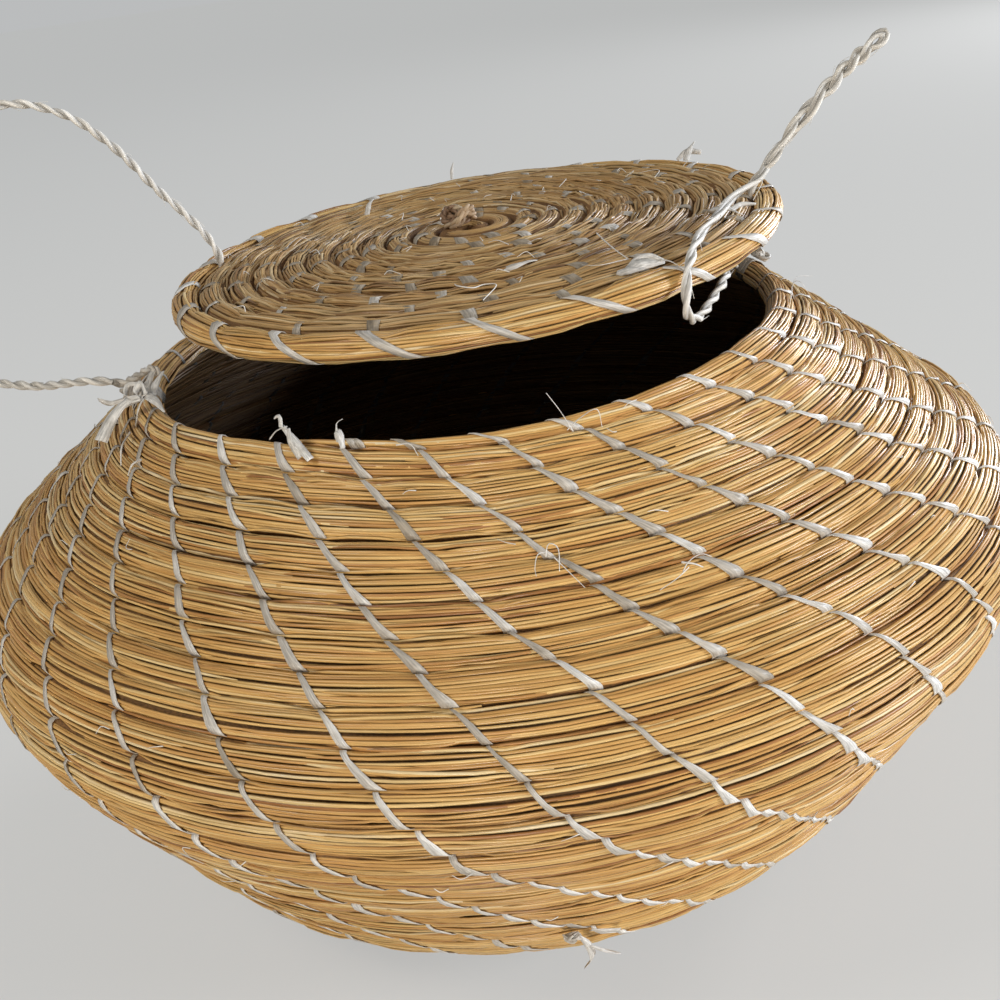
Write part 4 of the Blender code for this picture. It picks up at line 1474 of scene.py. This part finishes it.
    def hairs(self) -> None:
        """Lay the thin loose fibres that stand off the wall."""
        strands = Strands()
        for azimuth, rounds, points, radius in (
                (-85.0, 3, ((-12.5, 1.2, 0.6), (-10.4, 0.2, 2.4), (-12.0, -1.6, 2.6), (-16.4, -1.0, 0.4)),
                 0.17),
                (-85.0, 3, ((-11.5, 0.8, 0.8), (-12.2, 3.0, 1.8), (-15.0, 4.2, 1.4), (-16.6, 4.2, 0.4)),
                 0.15),
                (-85.0, 3, ((-13.0, -0.6, 0.5), (-17.0, -2.6, 1.4), (-21.3, -5.5, 0.4)), 0.16),
                (-72.0, 2, ((-31.2, 2.8, 0.6), (-29.8, 1.0, 1.8), (-28.9, -2.5, 1.6), (-29.8, -5.2, 0.5)),
                 0.16),
                (-72.0, 2, ((-30.6, 1.0, 0.6), (-32.4, 5.0, 1.2), (-33.5, 9.6, 0.4)), 0.17),
                (-72.0, 2, ((-29.0, 2.0, 0.6), (-30.6, 0.0, 1.6), (-31.6, -2.0, 0.6)), 0.3),
                (-90.0, 0, ((-3.6, -20.7, 0.4), (-1.6, -18.0, 7.0), (-0.2, -15.2, 13.0)), 0.14),
                (-90.0, 0, ((-3.0, -19.4, 0.4), (-2.4, -22.6, 4.0), (-2.0, -26.4, 6.0), (-4.0, -27.4, 1.0)),
                 0.14),
                (-95.0, 0, ((-1.3, 11.8, 0.4), (-2.6, 8.2, 2.2), (-4.9, 6.7, 0.4)), 0.2),
                (-152.0, 1, ((1.8, 6.0, 0.5), (-2.1, -1.0, 2.6), (-6.2, -3.7, 0.6)), 0.4),
                (-152.0, 1, ((-1.3, -12.1, 0.5), (-3.6, -13.6, 2.2), (-6.7, -11.8, 0.5)), 0.4),
                (-20.0, 0, ((0.0, 0.0, 0.4), (3.0, 3.0, 6.0), (2.0, 8.0, 9.0), (-3.0, 9.0, 7.0)), 0.1),
                (-20.0, 0, ((0.0, -4.0, 0.4), (2.0, -8.0, 5.0), (-2.0, -12.0, 7.0)), 0.1)):
            line = wall_seat(self.coil, azimuth, rounds).line(points, 0.8)
            strands.add_tapered(line, radius, radius / 2, 0.75)
        chance = np.random.default_rng(57)
        for _ in range(70):
            seat = wall_seat(self.coil, chance.uniform(-180, 180), int(chance.integers(0, 20)), 4.0)
            way = chance.normal(0, 1, 2)
            away = float(chance.uniform(2.0, 5.0))
            middle = (way[0] * 0.8, away * 0.6, 0.8)
            line = seat.line(((0.0, 0.0, 0.0), middle, (way[1] * 1.6, away, 0.6)), 0.8)
            strands.add_tapered(line, 0.16, 0.07, float(chance.uniform(0.4, 0.9)))
        strands.piece("wall_loose_fibres", self.palette.twine, Body.BASKET, Slot.RIBBON)

    def start(self) -> None:
        """Fold the start of the coil in the eye of the base."""
        low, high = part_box("base_centre_knot")
        middle = Vector(((low[0] + high[0]) / 2, (low[1] + high[1]) / 2, low[2])) / MM
        seat = Seat(middle, Vector((0, 0, 1)), Vector((0, 1, 0)))
        CoilStart("base_centre_knot", seat, self.palette.start_grass, Body.BASKET,
                  radius=1.9, height=3.4, strand=0.7, seed=61).build()

    def build(self) -> dict[str, Object]:
        """Build the whole body.

        Returns:
            Its knots by name.
        """
        self.bundles()
        self.stitches()
        self.ties()
        self.start()
        self.shreds()
        self.hairs()
        return self.knots()


@dataclass
class Lid:
    """The hanging lid: its coil, stitches and twisted middle.

    Its edge round is edge_share of a full turn long.
    """

    palette: Palette
    coil: LidCoil = field(default_factory=LidCoil)
    edge_share: float = 17 / 18

    def __post_init__(self) -> None:
        """Settle where the edge round starts and stops."""
        self.edge_turn = float(self.coil.rounds - 1)
        self.last_turn = self.edge_turn + self.edge_share

    def bundles(self) -> None:
        """Build the inner rounds and the edge round."""
        GrassBundle("lid_inner", self.coil, -0.5, self.edge_turn, self.palette.lid_grass,
                    self.palette.bundle_heart, "lid_coil", Body.LID, 71, longest=190.0).build()
        GrassBundle("lid_edge", self.coil, self.edge_turn, self.last_turn, self.palette.wall_grass,
                    self.palette.bundle_heart, "lid_edge_coil", Body.LID, 72, overlap=0.0,
                    seams=(), heart_width=0.86).build()

    def stitches(self) -> None:
        """Sew the rounds in arms, with wider ribbons round the edge."""
        inner = crossings(self.coil, 0.9, self.edge_turn - 0.002)
        sparse = (inner > 4.0) | (np.arange(len(inner)) % 2 == 0)
        sparse &= np.random.default_rng(83).random(len(inner)) < 0.8
        Stitches("lid_stitches", self.coil, inner[sparse], self.palette.lid_ribbon, Body.LID, 81,
                 lean=-3.0, width=(2.2, 4.0), spread=0.0, lift=0.22, sunk=1.5).build()
        edge = crossings(self.coil, self.edge_turn + 0.02, self.last_turn - 0.02)
        Stitches("lid_edge_stitches", self.coil, edge, self.palette.ribbon, Body.LID, 82,
                 lean=17.0, width=(3.0, 4.2), spread=-0.1, wound=True, tint=0.8).build()

    def level_seat(self, x: float, y: float, z: float) -> Seat:
        """Seat on the lid, from a place on the level lid.

        Args:
            x: Distance to the right of its middle.
            y: Distance to the back.
            z: Distance up.

        Returns:
            The seat.
        """
        spots = self.coil.on_seat(np.array([[x, y, z], [x, y, z + 1], [x, y + 1, z]]))
        middle = Vector(spots[0])
        return Seat(middle, Vector(spots[1]) - middle, Vector(spots[2]) - middle)

    def shreds(self) -> None:
        """Lay the loose ribbons and fibres on the lid, at points given as right, back and up."""
        seat = self.level_seat(0.0, 0.0, 0.0)
        ribbons = Ribbons()
        for points, width, twist, tint in (
                (((36.2, -73.4, 4.0), (38.4, -74.0, 5.0), (41.6, -73.8, 5.2), (45.8, -74.0, 4.8)),
                 (2.6, 4.0, 3.4, 1.2), 20, 1.0),
                (((37.0, -72.2, 4.8), (39.6, -71.4, 6.2), (42.6, -72.0, 6.4), (45.6, -73.8, 5.2)),
                 (1.0, 1.5, 1.5, 0.8), -40, 0.95),
                (((33.6, -73.4, 3.8), (36.4, -75.0, 4.6), (40.4, -75.2, 4.6)), (2.0, 2.6, 1.2), 20, 0.9),
                (((44.6, -73.6, 5.4), (46.8, -77.2, 5.6), (48.8, -81.8, 4.4)), (0.8, 0.7, 0.5), 90, 0.9),
                (((4.6, -54.6, 4.6), (9.0, -55.6, 5.6), (13.6, -53.0, 5.6), (18.0, -51.6, 4.6)),
                 (1.0, 2.6, 2.2, 0.8), 60, 0.85),
                (((76.0, 41.0, 4.6), (78.0, 44.0, 7.6), (80.4, 46.0, 9.4)), (2.0, 3.0, 1.2), 60, 1.0),
                (((74.0, 45.6, 4.4), (77.6, 45.6, 6.6), (82.0, 43.6, 6.0)), (1.2, 2.2, 1.4), -50, 0.95),
                (((-34.0, 45.0, 4.6), (-32.4, 46.4, 8.4), (-31.0, 48.4, 9.4)), (1.6, 2.2, 1.2), 40, 0.9),
                (((-3.0, 84.0, 4.6), (-2.4, 86.0, 8.0), (-1.4, 87.0, 10.0)), (1.0, 1.4, 0.6), 40, 1.0),
                (((67.6, -30.6, 4.8), (71.0, -35.4, 5.6), (73.6, -42.8, 4.8)), (1.4, 2.4, 0.9), 50, 0.95),
                (((72.0, -36.0, 5.0), (75.6, -33.6, 5.4), (80.0, -33.0, 4.6)), (1.6, 1.4, 0.7), -60, 0.9)):
            line = seat.line([(y, -x, z) for x, y, z in points])
            ribbons.add(line, width, seat.out - seat.up * 0.8, twist, tint)
        ribbons.build("lid_ribbon_ends", self.palette.ribbon, Body.LID)
        strands = Strands()
        for points, radius in (
                (((34.3, -30.4, 4.6), (34.8, -46.0, 5.6), (36.0, -60.0, 6.0), (37.6, -68.0, 5.6)), 0.3),
                (((-6.9, -58.8, 4.6), (-6.0, -66.0, 6.0), (-2.4, -68.0, 5.4), (0.6, -65.4, 5.0),
                  (3.6, -68.0, 5.0), (-0.5, -77.8, 4.6)), 0.22),
                (((38.0, -66.0, 5.0), (30.0, -72.0, 6.4), (26.0, -66.0, 5.6)), 0.12),
                (((80.0, -30.0, 5.0), (84.0, -26.0, 9.0), (82.0, -20.0, 8.0)), 0.12),
                (((60.0, 20.0, 4.4), (64.0, 26.0, 6.4), (58.0, 32.0, 5.4)), 0.14),
                (((-50.0, 20.0, 4.4), (-55.0, 24.0, 6.4), (-60.0, 20.0, 4.4)), 0.14)):
            line = seat.line([(y, -x, z) for x, y, z in points], 0.8)
            strands.add_tapered(line, radius, radius * 0.6, 0.8)
        chance = np.random.default_rng(97)
        for _ in range(40):
            angle, reach = chance.uniform(0, TURN), chance.uniform(15, 88)
            x, y = reach * math.cos(angle), reach * math.sin(angle)
            near = self.level_seat(x, y, self.coil.domed(reach) + 3.6)
            way = chance.uniform(-3, 3, 4)
            tip = (way[0] + way[2], way[1] + way[3], 0.5)
            line = near.line(((0.0, 0.0, -0.6), (way[0], way[1], 0.9), tip), 0.8)
            strands.add_tapered(line, 0.16, 0.07, float(chance.uniform(0.3, 0.8)))
        strands.piece("lid_loose_fibres", self.palette.twine, Body.LID, Slot.RIBBON)

    def start(self) -> None:
        """Wind the twisted middle."""
        CoilStart("lid_centre_knot", self.level_seat(-2.9, 3.4, 6.0), self.palette.start_grass,
                  Body.LID, radius=4.8, height=5.2, strand=1.2, seed=91).build()

    def build(self) -> None:
        """Build the whole lid."""
        self.bundles()
        self.stitches()
        self.shreds()
        self.start()


LEFT_ROUTE = (
    (-104.8, -19.8, 163.2), (-110.5, -19.6, 164.3), (-119.0, -17.0, 164.0),
    (-133.0, -10.0, 162.8), (-150.0, -2.0, 166.0), (-163.0, 6.0, 178.0),
    (-168.0, 12.0, 197.0), (-162.0, 17.0, 217.0), (-147.0, 21.0, 233.0),
    (-128.0, 24.0, 239.5), (-112.0, 26.0, 234.5), (-100.5, 28.0, 223.5),
    (-90.0, 30.0, 207.5), (-81.4, 30.8, 195.8), (-77.0, 31.0, 187.0),
    (-76.2, 31.2, 177.5), (-76.2, 31.9, 170.0), (-79.2, 33.6, 163.4),
    (-82.7, 35.1, 160.3),
)

RIGHT_UP = (
    (88.0, 15.3, 161.0), (85.6, 13.0, 163.6), (86.2, 7.0, 167.4), (88.9, -1.5, 172.5),
    (89.3, -4.2, 180.0), (89.0, -4.3, 187.0), (90.0, -4.5, 191.2),
)

RIGHT_DOWN = (
    (90.0, -9.8, 192.9), (84.2, -13.2, 191.0), (77.6, -22.8, 190.2), (71.9, -34.2, 189.7),
    (64.4, -47.9, 188.9), (59.8, -59.2, 188.3), (57.2, -66.4, 187.2), (55.2, -71.5, 185.2),
    (54.2, -73.3, 181.4), (54.0, -73.4, 177.8), (54.8, -71.5, 174.3), (57.0, -66.5, 171.8),
    (60.8, -59.0, 170.2), (66.5, -48.0, 171.0), (72.5, -36.5, 172.5), (78.0, -20.0, 172.5),
    (81.8, -3.0, 170.5), (83.2, 10.0, 167.6), (84.6, 18.0, 163.8), (87.4, 18.8, 161.0),
)


def twisted_pair() -> list[Spot]:
    """Points up one strand of the doubled twine, round its fold and down.

    The two strands wind round each other, faster and closer towards the fold.

    Returns:
        The points, in millimetres.
    """
    steps = 16
    turns = 2.3
    apart_at_start = 1.3
    apart_at_fold = 1.0
    fold_length = 4.5
    start, middle, end = (Vector(point) for point in (
        (95.0, -4.8, 196.6), (110.5, -5.0, 213.3), (124.8, -5.2, 224.6)))
    along = (end - start).normalized()
    side = along.cross(Vector((0, 0, 1))).normalized()
    top = side.cross(along)
    strands = []
    for phase in (0.0, math.pi):
        strand = []
        for step in range(steps + 1):
            share = step / steps
            centre = start * (1 - share) * (1 - 2 * share) + middle * 4 * share * (1 - share)
            centre += end * share * (2 * share - 1)
            angle = phase + TURN * turns * share ** 1.8
            spread = side * math.cos(angle) + top * math.sin(angle)
            apart = apart_at_start + (apart_at_fold - apart_at_start) * share
            strand.append(centre + spread * apart)
        strands.append(strand)
    along = (end - middle).normalized()
    heart = (strands[0][-1] + strands[1][-1]) / 2
    sides = [strand[-1] + (strand[-1] - heart) * 0.35 + along * fold_length / 2
             for strand in strands]
    fold = [sides[0], heart + along * fold_length, sides[1]]
    return [tuple(point) for point in strands[0] + fold + strands[1][::-1]]


@dataclass
class Studio:
    """Camera, floor and plain soft light. The camera's angles are in degrees."""

    place: Spot = (0.0, -348.3, 262.0)
    yaw: float = 0.397
    down: float = 25.198
    roll: float = -8.113
    lens: float = 41.68
    aim: Spot = (0.0, 0.0, 0.1)

    def camera(self) -> None:
        """Stand the camera where the photograph was taken from."""
        yaw, down, roll = (math.radians(angle) for angle in (self.yaw, self.down, self.roll))
        ahead = Vector((math.sin(yaw) * math.cos(down), math.cos(yaw) * math.cos(down),
                        -math.sin(down)))
        right = ahead.cross(Vector((0, 0, 1))).normalized()
        up = right.cross(ahead)
        across = right * math.cos(roll) + up * math.sin(roll)
        above = -right * math.sin(roll) + up * math.cos(roll)
        data = bpy.data.cameras.new("photo_camera")
        data.sensor_width = 36.0
        data.lens = self.lens
        data.clip_start = 0.01
        camera = bpy.data.objects.new("photo_camera", data)
        turn = Matrix((across, above, -ahead)).transposed().to_4x4()
        camera.matrix_world = Matrix.Translation(Vector(self.place) * MM) @ turn
        bpy.context.scene.collection.objects.link(camera)
        bpy.context.scene.camera = camera

    def floor(self) -> None:
        """Lay a plain pale floor that stays pale far from the lamps."""
        sheet = bmesh.new()
        bmesh.ops.create_grid(sheet, x_segments=1, y_segments=1, size=30.0)
        mesh = bpy.data.meshes.new("studio_floor")
        sheet.to_mesh(mesh)
        sheet.free()
        made = bpy.data.materials.new("pale_floor")
        made.use_nodes = True
        tree = made.node_tree
        path = add_node(tree, "ShaderNodeLightPath")
        bounced = add_node(tree, "ShaderNodeBsdfDiffuse", {"Color": linear("#DDDBD6")})
        shaded = add_node(tree, "ShaderNodeBsdfDiffuse", {"Color": linear("#8A8884")})
        glow = add_node(tree, "ShaderNodeEmission", {"Color": linear("#F0F2F2"), "Strength": 0.5})
        seen = add_node(tree, "ShaderNodeAddShader", links={0: shaded, 1: glow})
        mixed = add_node(tree, "ShaderNodeMixShader",
                         links={0: path.outputs["Is Camera Ray"], 1: bounced, 2: seen})
        tree.nodes.remove(tree.nodes["Principled BSDF"])
        tree.links.new(mixed.outputs[0], tree.nodes["Material Output"].inputs["Surface"])
        mesh.materials.append(made)
        floor = bpy.data.objects.new("studio_floor", mesh)
        bpy.context.scene.collection.objects.link(floor)

    def lamp(self, name: str, place: Spot, size: float, power: float, colour: str) -> None:
        """Hang a soft lamp that faces the basket.

        Args:
            name: Name of the lamp.
            place: Where it hangs, in metres.
            size: Width of its disk in metres.
            power: Its power in watts.
            colour: Its colour in sRGB hex.
        """
        data = bpy.data.lights.new(name, "AREA")
        data.shape = "DISK"
        data.size = size
        data.energy = power
        data.color = linear(colour)[:3]
        lamp = bpy.data.objects.new(name, data)
        way = Vector(self.aim) - Vector(place)
        lamp.rotation_euler = way.to_track_quat("-Z", "Y").to_euler()
        lamp.location = place
        bpy.context.scene.collection.objects.link(lamp)

    def world(self) -> None:
        """Light the room evenly and show it pale behind the basket."""
        world = bpy.data.worlds.new("pale_room")
        bpy.context.scene.world = world
        world.use_nodes = True
        tree = world.node_tree
        shade = tree.nodes["Background"]
        shade.inputs["Color"].default_value = linear("#EEF0F1")
        path = add_node(tree, "ShaderNodeLightPath")
        level = add_node(tree, "ShaderNodeMapRange", {3: 0.26, 4: 0.58},
                         {0: path.outputs["Is Camera Ray"]})
        tree.links.new(level.outputs[0], shade.inputs["Strength"])

    def build(self) -> None:
        """Build the camera, the floor, the lamps and the world."""
        self.camera()
        self.floor()
        self.world()
        self.lamp("window_right", (1.15, -0.42, 0.4), 0.35, 10.5, "#F4F8FF")
        self.lamp("window_back", (2.4, 1.9, 0.7), 0.9, 60.0, "#F2F6FF")
        self.lamp("room_front", (-0.15, -1.3, 0.16), 0.3, 5.9, "#FFF6EA")
        self.lamp("room_above", (-0.8, -0.45, 1.25), 0.4, 5.6, "#FFF8EE")
        scene = bpy.context.scene
        scene.view_settings.view_transform = "Standard"


def main() -> None:
    """Build the studio, the basket, the lid and the cords.
    """
    logging.basicConfig(level=logging.INFO, format="%(name)s %(message)s")
    Studio().build()
    palette = Palette()
    knots = Basket(palette).build()
    Lid(palette).build()
    left_cord = Twine("left_cord", LEFT_ROUTE, palette.twine, seed=101)
    left_cord.build(start=(37.16, 0.0, 123.85), end=(44.59, 0.0, 148.62),
                    knot=knots["left_cord_knot"])
    right_route = [*RIGHT_UP, *twisted_pair(), *RIGHT_DOWN]
    right_cord = Twine("right_cord", right_route, palette.twine, seed=102, slack_at=166.0,
                       slack_reach=52.0, lay_length=17.0)
    right_cord.build(start=(0.0, -67.6, 50.7), end=(0.0, -86.4, 64.8),
                     knot=knots["right_cord_knot"])


if __name__ == "__main__":
    main()
